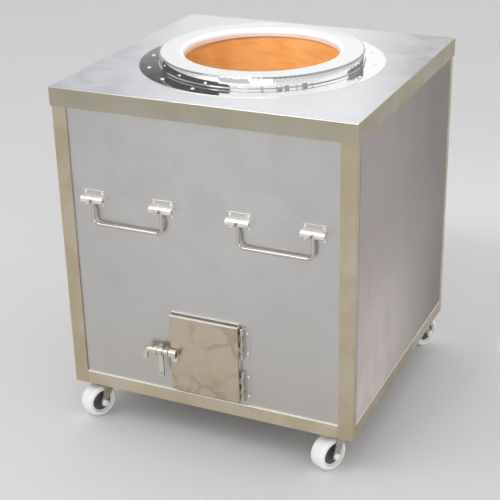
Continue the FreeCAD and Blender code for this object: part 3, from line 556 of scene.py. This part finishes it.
@dataclass(frozen=True)
class MouldedPlastic(Finish):
    """Moulded plastic with a faint skin, scuffed and dusty in use."""

    tint: Colour
    dust: Colour
    roughness: float
    dust_share: float
    gloss: float = 0.45
    skin: Pattern = Pattern(700.0, 3.0)
    skin_rough: float = 0.10
    skin_depth: float = 0.08 * MM
    skin_relief: float = 0.5
    scuff: Pattern = Pattern(85.0, 6.0, twist=0.9)
    scuff_edge: Span = (0.52, 0.76)
    scuff_rough: float = 0.20

    def draw(self, graph: Graph) -> None:
        """Draws the skin, its scuffs and the dust.

        Args:
            graph: the material's empty node tree.
        """
        skin = graph.noise(self.skin)
        scuff = graph.noise(self.scuff).step(*self.scuff_edge)
        graph.surface({
            "Base Color": graph.mix(scuff * self.dust_share, self.tint, self.dust),
            "Roughness": self.roughness + scuff * self.scuff_rough + skin.swing(self.skin_rough),
            "Normal": graph.bump(skin, self.skin_depth, self.skin_relief),
            "Specular IOR Level": self.gloss,
        })


@dataclass(frozen=True)
class StainedDoor(Finish):
    """Door sheet with faint overlapping rub rings and a brown bloom."""

    tint: Colour
    bloom: Colour
    mark: Colour
    roughness: float = 0.36
    strokes: float = 480.0
    stroke_rough: float = 0.06
    stroke_depth: float = 0.004 * MM
    patch: Pattern = Pattern(16.0, 4.0, twist=0.5)
    patch_edge: Span = (0.32, 0.68)
    patch_share: float = 0.5
    patch_rough: float = 0.08
    ring_scale: float = 17.0
    ring_radius: float = 0.50
    ring_width: float = 0.15
    ring_share: float = 0.5
    ring_rough: float = 0.06
    bend: Pattern = Pattern(30.0, 2.0)
    bend_share: float = 0.4
    gap: Pattern = Pattern(13.0, 2.0)
    gap_edge: Span = (0.36, 0.60)

    def draw(self, graph: Graph) -> None:
        """Draws the broken rub rings, the bloom and the strokes.

        Args:
            graph: the material's empty node tree.
        """
        bent = graph.cells(self.ring_scale) + graph.noise(self.bend).swing(self.bend_share)
        ring = abs(bent - self.ring_radius).step(self.ring_width, 0.0)
        broken = ring * graph.noise(self.gap).step(*self.gap_edge)
        patch = graph.noise(self.patch)
        stroke = graph.noise(Grain.ALONG_Z.strokes(self.strokes))
        sheet = graph.mix(patch.step(*self.patch_edge) * self.patch_share, self.tint, self.bloom)
        rough = self.roughness + broken * self.ring_rough + stroke.swing(self.stroke_rough)
        graph.surface({
            "Base Color": graph.mix(broken * self.ring_share, sheet, self.mark),
            "Roughness": rough + patch.swing(self.patch_rough),
            "Metallic": 1.0,
            "Normal": graph.bump(stroke, self.stroke_depth),
        })


@dataclass(frozen=True)
class StudioFloor(Finish):
    """Plain pale floor with a faint cloud."""

    tint: Colour
    cloud: Pattern = Pattern(2.0, 3.0)
    cloud_shade: float = 0.96
    roughness: float = 0.7

    def draw(self, graph: Graph) -> None:
        """Draws the floor's two close tones."""
        base = graph.mix(graph.noise(self.cloud), self.tint, dimmed(self.tint, self.cloud_shade))
        graph.surface({"Base Color": base, "Roughness": self.roughness})


# Front sheet: painted shade, a little darker and warmer towards the bottom, and a painted reflection, a
# lighter round patch on its upper middle
PANEL_PAINTED_SHADE = (PaintedFade((0.0, 0.0, -1.0), (-0.32, -0.12), (0.60, 0.57, 0.53)),)
PANEL_PAINTED_REFLECTION = (PaintedReflection((0.0, -0.34, 0.70), 0.42, (0.66, 0.66, 0.655)),)
# Side sheets: painted light, lighter towards the bottom, and painted shade, darker towards the back
SIDE_PAINTED_SHADING = (
    PaintedFade((0.0, 0.0, -1.0), (-0.60, -0.08), (0.97, 0.885, 0.86)),
    PaintedFade((0.0, 1.0, 0.0), (-0.27, 0.36), (0.222, 0.193, 0.168)),
)
# Cap top: painted shade, darker and bluer at its left front corner and darker towards its right back
# corner
CAP_PAINTED_SHADE = (
    PaintedFade((-0.9, -0.45, 0.0), (0.12, 0.40), (0.51, 0.53, 0.56)),
    PaintedFade((1.0, 0.4, 0.0), (0.18, 0.46), (0.42, 0.415, 0.425)),
)
POST_BLOTCH = Pattern(13.0, 2.0)
RAIL_BLOTCH = Pattern(13.0, 3.0)
SKIRT_BLOTCH = Pattern(9.0, 2.0)

PANEL = BrushedSteel(
    "front_sheet_satin", (0.60, 0.588, 0.575), (0.57, 0.555, 0.535), Grain.ALONG_Z,
    painted_fades=PANEL_PAINTED_SHADE, patches=PANEL_PAINTED_REFLECTION,
)
# The side sheets are tinted darker than the front sheet of the same steel: painted shade
SIDE = BrushedSteel(
    "side_sheet_satin_painted_shade", (0.46, 0.406, 0.390), (0.42, 0.37, 0.35), Grain.ALONG_Z,
    smear_share=0.06, stain_share=0.2, painted_fades=SIDE_PAINTED_SHADING,
)
POST = BrushedSteel(
    "post_angle_warm", (0.60, 0.53, 0.415), (0.525, 0.425, 0.285), Grain.ALONG_Z,
    blotch=POST_BLOTCH, stain_share=0.7,
)
RAIL = BrushedSteel(
    "rail_angle_warm", (0.68, 0.60, 0.475), (0.58, 0.48, 0.335), Grain.ALONG_X,
    blotch=RAIL_BLOTCH, stain_share=0.7,
)
# The side rails are tinted darker than the front and back rails of the same steel: painted shade
SIDE_RAIL = BrushedSteel(
    "side_rail_angle_painted_shade", (0.59, 0.525, 0.42), (0.49, 0.395, 0.25), Grain.ALONG_Y,
    blotch=RAIL_BLOTCH, stain_share=0.7,
)
SKIRT = BrushedSteel(
    "cap_skirt_warm", (0.51, 0.475, 0.38), (0.45, 0.405, 0.30), Grain.ALONG_X,
    blotch=SKIRT_BLOTCH, stain_share=0.6,
)
# The cap's side skirts are tinted yellower and darker than its front and back skirts: a painted reflection
SIDE_SKIRT_PAINTED_REFLECTION = BrushedSteel(
    "cap_side_skirt_painted_reflection", (0.50, 0.465, 0.365), (0.46, 0.395, 0.25), Grain.ALONG_Y,
    blotch=SKIRT_BLOTCH, stain_share=0.7,
)
# The cap's level top is tinted far lighter and bluer than its skirts, which are the same sheet: painted
# light
CAP = BrushedSteel(
    "cap_top_painted_light", (0.84, 0.85, 0.86), (0.81, 0.815, 0.825), Grain.ALONG_X,
    roughness=0.44, stroke_share=0.03, smear_share=0.08, sway=0.2 * MM, painted_fades=CAP_PAINTED_SHADE,
)
# Painted shade: a dark tint for faces that stand in shadow or in a dark gap
PAINTED_SHADOW = BrushedSteel("painted_shadow_edge", (0.26, 0.24, 0.22), (0.14, 0.12, 0.10), Grain.ALONG_X, roughness=0.5)
MILL = BrushedSteel("mill_steel_plain", (0.42, 0.41, 0.39), (0.28, 0.25, 0.21), Grain.EVEN, roughness=0.45)
MIRROR = PolishedSteel("mouth_polish", (0.95, 0.95, 0.95))
SATIN = PolishedSteel("ring_satin", (0.94, 0.94, 0.94), roughness=0.36)
LIP = PolishedSteel("lip_blasted", (0.93, 0.92, 0.90), roughness=0.5, metal=0.45)
# Painted highlight: a pale, half-diffuse tint for ledges, rims and nuts that catch the light
PAINTED_HIGHLIGHT = PolishedSteel("painted_highlight_edge", (0.95, 0.94, 0.91), roughness=0.45, metal=0.4)
# Painted shade: a dark tint on the polished ring's rounded bend, for the dark line along its outer top
# edge
PAINTED_DARK_BEND = PolishedSteel("ring_bend_painted_shade", (0.40, 0.40, 0.40), roughness=0.16)
# The rods are tinted darker than the other polished steel: painted shade, for the dark surroundings that
# they mirror
ROD = PolishedSteel("handle_rod_painted_dark_polish", (0.58, 0.55, 0.50), roughness=0.18)
HARDWARE = ZincSteel("bright_hardware", (0.90, 0.87, 0.835), (0.52, 0.46, 0.39))
WORN = ZincSteel("worn_latch", (0.72, 0.68, 0.60), (0.30, 0.255, 0.19))
# The castor steel is tinted much darker than the other plated hardware: painted shade, for the dark that
# it mirrors under the cabinet; its grime patches are dirt
FORK = ZincSteel("castor_plating_painted_shade", (0.50, 0.47, 0.385), (0.22, 0.19, 0.13))
CLAY = FiredClay("pot_clay", (0.92, 0.40, 0.105), (0.98, 0.50, 0.165), (0.30, 0.14, 0.06), (0.60, 0.36))
IRON = CastIron("grate_iron", (0.05, 0.048, 0.046), (0.42, 0.40, 0.38))
REFRACTORY = RoughMineral(
    "hearth_refractory", (0.60, 0.52, 0.42), (0.40, 0.34, 0.27),
    lumps=Pattern(30.0, 7.0, twist=0.4), specks=120.0,
)
WOOL = RoughMineral(
    "packed_wool", (0.80, 0.77, 0.66), (0.62, 0.58, 0.46),
    lumps=Pattern(45.0, 7.0, twist=0.4), specks=180.0,
)
NYLON = MouldedPlastic(
    "white_nylon", (0.95, 0.95, 0.955), (0.78, 0.77, 0.75),
    roughness=0.34, dust_share=0.22,
)
HUB = MouldedPlastic(
    "dark_hub", (0.07, 0.07, 0.075), (0.30, 0.29, 0.28),
    roughness=0.42, dust_share=0.45,
)
DOOR = StainedDoor("ash_door_sheet", (0.605, 0.523, 0.415), (0.535, 0.452, 0.33), (0.35, 0.27, 0.17))
FLOOR = StudioFloor("studio_floor", (0.76, 0.76, 0.755))


# Pieces

BODY_OF: dict[str, str] = {
    node: body for body, nodes in frame["record"]["behaviour"]["bodies"].items() for node in nodes
}

# Share of a face's normal that makes it look one way, or lie level
FACING = 0.7
LEVEL = 0.97

# Points this close are one, faces within the first angle are one flat, and edges past the second are sharp
WELD = 0.002 * MM
FLAT_ANGLE = math.radians(0.5)
SHARP_ANGLE = math.radians(28)


def points_of(node: str) -> list[Vector]:
    """Points of a solid's mesh, in metres in the frame."""
    return [corner.co for corner in frame["nodes"][node].data.vertices]


def dress(node: str, finish: Finish) -> None:
    """Keeps a solid's own shape and gives it a finish.

    Args:
        node: name of the CAD node.
        finish: its finish.
    """
    skin = frame["nodes"][node].data.materials
    skin.clear()
    skin.append(finish.material())
    LOG.info("dressed %s as %s", node, finish.name)


@dataclass(frozen=True)
class Accent:
    """A second finish for the faces of a piece that pass a test."""

    finish: Finish
    picks: FaceTest


def faces_up(face: bmesh.types.BMFace) -> bool:
    """True for a ledge."""
    return face.normal.z > FACING


def lies_flat(face: bmesh.types.BMFace) -> bool:
    """True for a level top."""
    return face.normal.z > LEVEL


def stands_upright(face: bmesh.types.BMFace) -> bool:
    """True for a wall."""
    return abs(face.normal.z) < FACING


def faces_front(face: bmesh.types.BMFace) -> bool:
    """True for a face that looks forward."""
    return face.normal.y < -FACING


def faces_side(face: bmesh.types.BMFace) -> bool:
    """True for a face that looks to the left or right."""
    return abs(face.normal.x) > FACING


def welded(node: str, accents: tuple[Accent, ...], cut: float | None) -> bpy.types.Mesh:
    """Copies a solid's mesh without doubled points, its flats whole and its faces sorted by finish.

    Args:
        node: name of the CAD node.
        accents: other finishes for some of its faces; the first that fits a face is taken.
        cut: height in metres of a level line that parts its faces for the accents.

    Returns:
        The copy, smooth but for its sharp edges.
    """
    shell = bmesh.new()
    shell.from_mesh(frame["nodes"][node].data)
    bmesh.ops.remove_doubles(shell, verts=shell.verts, dist=WELD)
    bmesh.ops.dissolve_limit(shell, angle_limit=FLAT_ANGLE, verts=shell.verts, edges=shell.edges)
    if cut is not None:
        pieces = [*shell.verts, *shell.edges, *shell.faces]
        bmesh.ops.bisect_plane(shell, geom=pieces, plane_co=(0, 0, cut), plane_no=(0, 0, 1))
    for face in shell.faces:
        face.smooth = True
        face.material_index = next((row for row, accent in enumerate(accents, 1) if accent.picks(face)), 0)
    for edge in shell.edges:
        edge.smooth = edge.is_manifold and edge.calc_face_angle() < SHARP_ANGLE
    mesh = bpy.data.meshes.new(f"{node}_eased")
    shell.to_mesh(mesh)
    shell.free()
    return mesh


def eased(
    node: str,
    finish: Finish,
    radius: float = 0.0,
    segments: int = 2,
    accents: tuple[Accent, ...] = (),
    cut: float | None = None,
) -> None:
    """Stands a copy of a solid with rounded edges in its place, as bent and deburred metal has.

    Args:
        node: name of the CAD node.
        finish: its finish.
        radius: radius of the edges in metres; 0 only welds the mesh.
        segments: facets of each rounded edge.
        accents: other finishes for some of its faces; the first that fits a face is taken.
        cut: height in metres of a level line that parts its faces for the accents.
    """
    piece = bpy.data.objects.new(f"{node}_eased", welded(node, accents, cut))
    bpy.context.scene.collection.objects.link(piece)
    if radius > 0:
        bevel = piece.modifiers.new("eased_edges", "BEVEL")
        bevel.width = radius
        bevel.segments = segments
        bevel.limit_method = "ANGLE"
        bevel.angle_limit = SHARP_ANGLE
        bevel.harden_normals = True
    for skin in (finish, *(accent.finish for accent in accents)):
        piece.data.materials.append(skin.material())
    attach(piece, BODY_OF[node])
    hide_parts(node)
    LOG.info("eased %s as %s", node, finish.name)


@dataclass
class Casing:
    """Sheets, frame and cap of the cabinet."""

    angle_radius: float = 0.6 * MM
    sheet_radius: float = 0.4 * MM
    highlight_strip: float = 2.4 * MM

    def __post_init__(self) -> None:
        """Finds the height where the painted highlight strip along the rails' upper edge begins."""
        self.brow = max(point.z for point in points_of("rail_front")) - self.highlight_strip

    def build(self) -> None:
        """Dresses the sheets and rounds the frame."""
        for node in ("front_panel", "back_panel"):
            dress(node, PANEL)
        for node in ("left_panel", "right_panel"):
            eased(node, SIDE, self.sheet_radius)
        for corner in CORNERS:
            eased(f"post_{corner}", POST, self.angle_radius)
        # The strip along each rail's upper edge is painted highlight
        strip = (Accent(PAINTED_HIGHLIGHT, self._on_brow),)
        for side, finish in (("front", RAIL), ("back", RAIL), ("left", SIDE_RAIL), ("right", SIDE_RAIL)):
            eased(f"rail_{side}", finish, self.angle_radius, accents=strip, cut=self.brow)
        # The cap's top and skirts are one sheet; their different tints are painted light and shade
        skirts = (Accent(SIDE_SKIRT_PAINTED_REFLECTION, faces_side), Accent(SKIRT, stands_upright))
        eased("top_cap", CAP, self.sheet_radius, accents=skirts)
        for node in ("top_frame", "base_plate", "corner_plates"):
            dress(node, MILL)

    def _on_brow(self, face: bmesh.types.BMFace) -> bool:
        """True for the painted highlight strip along a rail's upper edge."""
        return face.calc_center_median().z > self.brow


@dataclass
class Mouth:
    """Polished ring and flange on the cap."""

    edge_radius: float = 0.8 * MM
    lip_width: float = 13.0 * MM
    bend_width: float = 8.5 * MM
    bend_rise: float = 0.1

    def __post_init__(self) -> None:
        """Finds how far out the rolled lip ends and the outer bend begins."""
        reaches = [point.to_2d().length for point in points_of("mouth_ring")]
        self.lip_end = min(reaches) + self.lip_width
        self.bend_start = max(reaches) - self.bend_width

    def build(self) -> None:
        """Polishes the ring, the flange and its rivets."""
        # The bend between the ring's top and its wall is painted shade
        skins = (Accent(SATIN, lies_flat), Accent(LIP, self._on_lip), Accent(PAINTED_DARK_BEND, self._on_bend))
        eased("mouth_ring", MIRROR, self.edge_radius, accents=skins)
        dress("mouth_flange", MIRROR)
        eased("flange_rivets", MIRROR)

    def _on_lip(self, face: bmesh.types.BMFace) -> bool:
        """True for the rolled lip round the hole."""
        return face.calc_center_median().to_2d().length < self.lip_end

    def _on_bend(self, face: bmesh.types.BMFace) -> bool:
        """True for the bend between the ring's top and its wall."""
        reach = face.calc_center_median().to_2d().length
        return face.normal.z > self.bend_rise and reach > self.bend_start


@dataclass
class Oven:
    """Clay pot, what it stands on and what is packed round it."""

    def build(self) -> None:
        """Dresses the clay, the grate and the hidden fill."""
        dress("clay_pot", CLAY)
        dress("fire_grate", IRON)
        dress("hearth_bed", REFRACTORY)
        dress("pot_base", REFRACTORY)
        dress("insulation_fill", WOOL)
        dress("air_tunnel", MILL)


@dataclass
class AshDoor:
    """Door, its raised frame, its hinges and the rivets in front."""

    fold_radius: float = 1.4 * MM
    fold_segments: int = 3
    leaf_radius: float = 0.35 * MM

    def build(self) -> None:
        """Rounds the folded sheets and dresses the hinges."""
        # The door's upward faces and the collar are painted highlight; the collar's front faces are
        # painted shade, for the dark gap above the door
        eased("ash_door", DOOR, self.fold_radius, self.fold_segments, (Accent(PAINTED_HIGHLIGHT, faces_up),))
        eased("door_collar", PAINTED_HIGHLIGHT, self.leaf_radius, accents=(Accent(PAINTED_SHADOW, faces_front),))
        eased("door_hinge_leaves", DOOR, self.leaf_radius)
        eased("fixed_hinge_leaves", PANEL, self.leaf_radius)
        dress("hinge_pins", HARDWARE)
        for node in ("door_rivets", "panel_rivets"):
            eased(node, HARDWARE)


@dataclass
class Latch:
    """Slide bolt with its guide, keeper and hanging lever."""

    edge_radius: float = 0.6 * MM

    def build(self) -> None:
        """Rounds the forged pieces and dresses the bolt."""
        for node in ("latch_guide", "latch_keeper"):
            eased(node, WORN, self.edge_radius)
        # The lever's side faces are painted shade, for its shadowed edge
        eased("latch_lever", WORN, self.edge_radius, accents=(Accent(PAINTED_SHADOW, faces_side),))
        dress("latch_bolt", WORN)


@dataclass
class Handles:
    """Drop handles and the brackets that they hang from."""

    edge_radius: float = 0.6 * MM
    plate_depth: float = 2.7 * MM
    rim_turn: float = 0.5

    def __post_init__(self) -> None:
        """Finds how far a bracket's flat plate reaches from the cabinet's middle."""
        self.plate_reach = max(abs(point.y) for point in points_of("front_panel")) + self.plate_depth

    def build(self) -> None:
        """Rounds the brackets and polishes the rods."""
        # The rims of each bracket's flat plate are painted highlight
        plates = (Accent(PAINTED_HIGHLIGHT, self._on_rim), Accent(PANEL, self._on_plate))
        eased("handle_brackets", HARDWARE, self.edge_radius, accents=plates)
        for corner in CORNERS:
            dress(f"handle_{corner}", ROD)

    def _on_rim(self, face: bmesh.types.BMFace) -> bool:
        """True for the sheared edges of a bracket's flat plate."""
        return abs(face.normal.y) < self.rim_turn and self._on_plate(face)

    def _on_plate(self, face: bmesh.types.BMFace) -> bool:
        """True for the faces of a bracket's flat plate."""
        return max(abs(corner.co.y) for corner in face.verts) < self.plate_reach


@dataclass
class Castors:
    """Four swivel castors."""

    edge_radius: float = 0.6 * MM

    def build(self) -> None:
        """Rounds the pressed steel and dresses the wheels."""
        eased("castor_plates", FORK, self.edge_radius)
        dress("castor_bolts", FORK)
        dress("castor_kingpins", FORK)
        for corner in CORNERS:
            eased(f"castor_fork_{corner}", FORK, self.edge_radius)
            # The axles are painted highlight, for the glint of their nuts
            dress(f"castor_axle_{corner}", PAINTED_HIGHLIGHT)
            dress(f"castor_wheel_{corner}", NYLON)
            dress(f"wheel_hub_{corner}", HUB)


# Studio


@dataclass(frozen=True)
class SoftBox:
    """A rectangular studio lamp that faces a point."""

    name: str
    place: Point
    target: Point
    size: Span
    power: float
    spread: float = math.pi

    def build(self) -> None:
        """Hangs the lamp."""
        lamp = bpy.data.lights.new(self.name, "AREA")
        lamp.shape = "RECTANGLE"
        lamp.size, lamp.size_y = self.size
        lamp.energy = self.power
        lamp.spread = self.spread
        holder = bpy.data.objects.new(self.name, lamp)
        holder.location = self.place
        aim = Vector(self.target) - Vector(self.place)
        holder.rotation_euler = aim.to_track_quat("-Z", "Y").to_euler()
        bpy.context.scene.collection.objects.link(holder)


@dataclass(frozen=True)
class Backdrop:
    """Soft bands of light round the object, with dark screens that the polished flange mirrors.

    A height is the upward share of a direction. A turn is in radians, from straight behind to the right.
    A band gives its two ends and the width of its soft edges.
    """

    front_wall: Colour = (0.74, 0.74, 0.75)
    back_wall: Colour = (0.86, 0.86, 0.86)
    front_glow: Colour = (0.92, 0.92, 0.93)
    back_glow: Colour = (1.01, 1.01, 1.01)
    ceiling: Colour = (0.62, 0.62, 0.63)
    screen: Colour = (0.05, 0.05, 0.055)
    front_to_back: Span = (-0.25, 0.25)
    wall_to_glow: Span = (0.05, 0.22)
    glow_to_ceiling: Span = (0.55, 0.85)
    low_heights: Band = (0.248, 0.312, 0.012)
    tall_heights: Band = (0.19, 0.37, 0.02)
    tall_turns: Band = (-2.95, -1.0, 0.05)
    left_turns: Band = (-2.95, -0.452, 0.02)
    left_dark: float = 0.96
    thin_turns: Band = (-1.0, -0.46, 0.04)
    thin_heights: Span = (0.288, 0.262)
    thin_share: float = 0.2
    slat_turns: Band = (1.72, 2.78, 0.05)
    slat_dark: float = 0.8
    slat_waves: Span = (37.0, 14.0)
    slat_edge: Span = (0.0, 0.4)
    right_turns: Band = (0.0, 0.86, 0.05)
    right_dark: float = 0.85

    def build(self) -> None:
        """Paints the world."""
        world = bpy.data.worlds.new("studio")
        bpy.context.scene.world = world
        world.use_nodes = True
        graph = Graph(world.node_tree)
        way = graph.out(graph.add("ShaderNodeTexCoord"), "Generated")
        parts = graph.add("ShaderNodeSeparateXYZ", None, {0: way})
        x, y, z = (graph.out(parts, name) for name in "XYZ")
        screens = self._screens(graph, graph.math("ARCTAN2", x, y), z)
        shaded = graph.mix(screens, self._light(graph, y, z), self.screen)
        light = graph.add("ShaderNodeBackground", None, {"Color": shaded, "Strength": 1.0})
        graph.add("ShaderNodeOutputWorld", None, {"Surface": graph.out(light)})

    def _light(self, graph: Graph, depth: Signal, height: Signal) -> Signal:
        """Blends walls, glow and ceiling.

        Args:
            graph: the world's node tree.
            depth: share of the direction that points back.
            height: share of the direction that points up.

        Returns:
            The colour of the light from each direction.
        """
        backward = depth.step(*self.front_to_back)
        wall = graph.mix(backward, self.front_wall, self.back_wall)
        glow = graph.mix(backward, self.front_glow, self.back_glow)
        sky = graph.mix(height.step(*self.wall_to_glow), wall, glow)
        return graph.mix(height.step(*self.glow_to_ceiling), sky, self.ceiling)

    def _screens(self, graph: Graph, turn: Signal, height: Signal) -> Signal:
        """Stands the dark screens round the object.

        Args:
            graph: the world's node tree.
            turn: turn of the direction.
            height: share of the direction that points up.

        Returns:
            How dark each direction is.
        """
        fine, coarse = (graph.math("SINE", turn * wave) for wave in self.slat_waves)
        slats = (fine + coarse).step(*self.slat_edge)
        thin = turn.within(*self.thin_turns) * height.step(*self.thin_heights)
        left = turn.within(*self.left_turns) * (self.left_dark - thin * self.thin_share)
        front = turn.within(*self.slat_turns) * slats * self.slat_dark
        right = turn.within(*self.right_turns) * self.right_dark
        low = height.within(*self.low_heights)
        tall = height.within(*self.tall_heights) * turn.within(*self.tall_turns)
        return (left + front + right) * graph.math("MAXIMUM", low, tall)


@dataclass
class Studio:
    """Pale floor, soft light and the camera at the photograph's angle."""

    floor_size: float = 60.0
    focal_pixels: float = 1227.64
    frame_pixels: float = 500.0
    sensor: float = 36.0
    azimuth: float = 24.8726
    elevation: float = 24.5947
    roll: float = -1.3107
    distance: float = 3.0338
    target: Point = (-0.0422, 0.0, 0.3492)
    cabinet_middle: Point = (0.0, 0.0, 0.5)
    door_foot: Point = (0.2, -0.3, 0.15)
    pot_neck: Point = (0.0, 0.05, 0.85)

    def build(self) -> None:
        """Sets the stage."""
        self._floor()
        Backdrop().build()
        for lamp in self._lamps():
            lamp.build()
        self._camera()
        bpy.context.scene.view_settings.view_transform = "Standard"

    def _lamps(self) -> list[SoftBox]:
        """Lists the studio's soft boxes.

        Returns:
            The lamps, with places and sizes in metres and power in watts.
        """
        return [
            SoftBox("key_box", (-1.5, -2.2, 3.5), self.cabinet_middle, (2.0, 2.0), power=32.0),
            SoftBox("top_box", (0.2, 0.1, 3.2), self.cabinet_middle, (2.4, 2.4), power=7.0),
            SoftBox("low_box", (1.3, -2.8, 0.9), self.door_foot, (1.2, 0.8), power=8.5),
            SoftBox("mouth_box", (-0.1, -1.2, 2.4), self.pot_neck, (0.5, 0.5), power=1.15, spread=0.6),
        ]

    def _floor(self) -> None:
        """Lays the floor."""
        half = self.floor_size / 2
        mesh = bpy.data.meshes.new("floor")
        corners = [(-half, -half, 0), (half, -half, 0), (half, half, 0), (-half, half, 0)]
        mesh.from_pydata(corners, [], [(0, 1, 2, 3)])
        floor = bpy.data.objects.new("floor", mesh)
        bpy.context.scene.collection.objects.link(floor)
        floor.data.materials.append(FLOOR.material())

    def _camera(self) -> None:
        """Stands the camera where the photograph was taken from."""
        turn, rise, tilt = (math.radians(angle) for angle in (self.azimuth, self.elevation, self.roll))
        back = Vector((math.sin(turn) * math.cos(rise), -math.cos(turn) * math.cos(rise), math.sin(rise)))
        right = Vector((math.cos(turn), math.sin(turn), 0))
        up = back.cross(right)
        side = right * math.cos(tilt) + up * math.sin(tilt)
        head = up * math.cos(tilt) - right * math.sin(tilt)
        lens = bpy.data.cameras.new("camera")
        lens.sensor_width = self.sensor
        lens.lens = self.focal_pixels * self.sensor / self.frame_pixels
        camera = bpy.data.objects.new("camera", lens)
        pose = Matrix((side, head, back)).transposed().to_4x4()
        pose.translation = Vector(self.target) + back * self.distance
        camera.matrix_world = pose
        bpy.context.scene.collection.objects.link(camera)
        bpy.context.scene.camera = camera


def main() -> None:
    """Builds every sub-assembly and the studio in order."""
    logging.basicConfig(level=logging.INFO, format="%(name)s: %(message)s")
    for assembly in (Casing(), Mouth(), Oven(), AshDoor(), Latch(), Handles(), Castors(), Studio()):
        LOG.info("building %s", type(assembly).__name__)
        assembly.build()


if __name__ == "__main__":
    main()
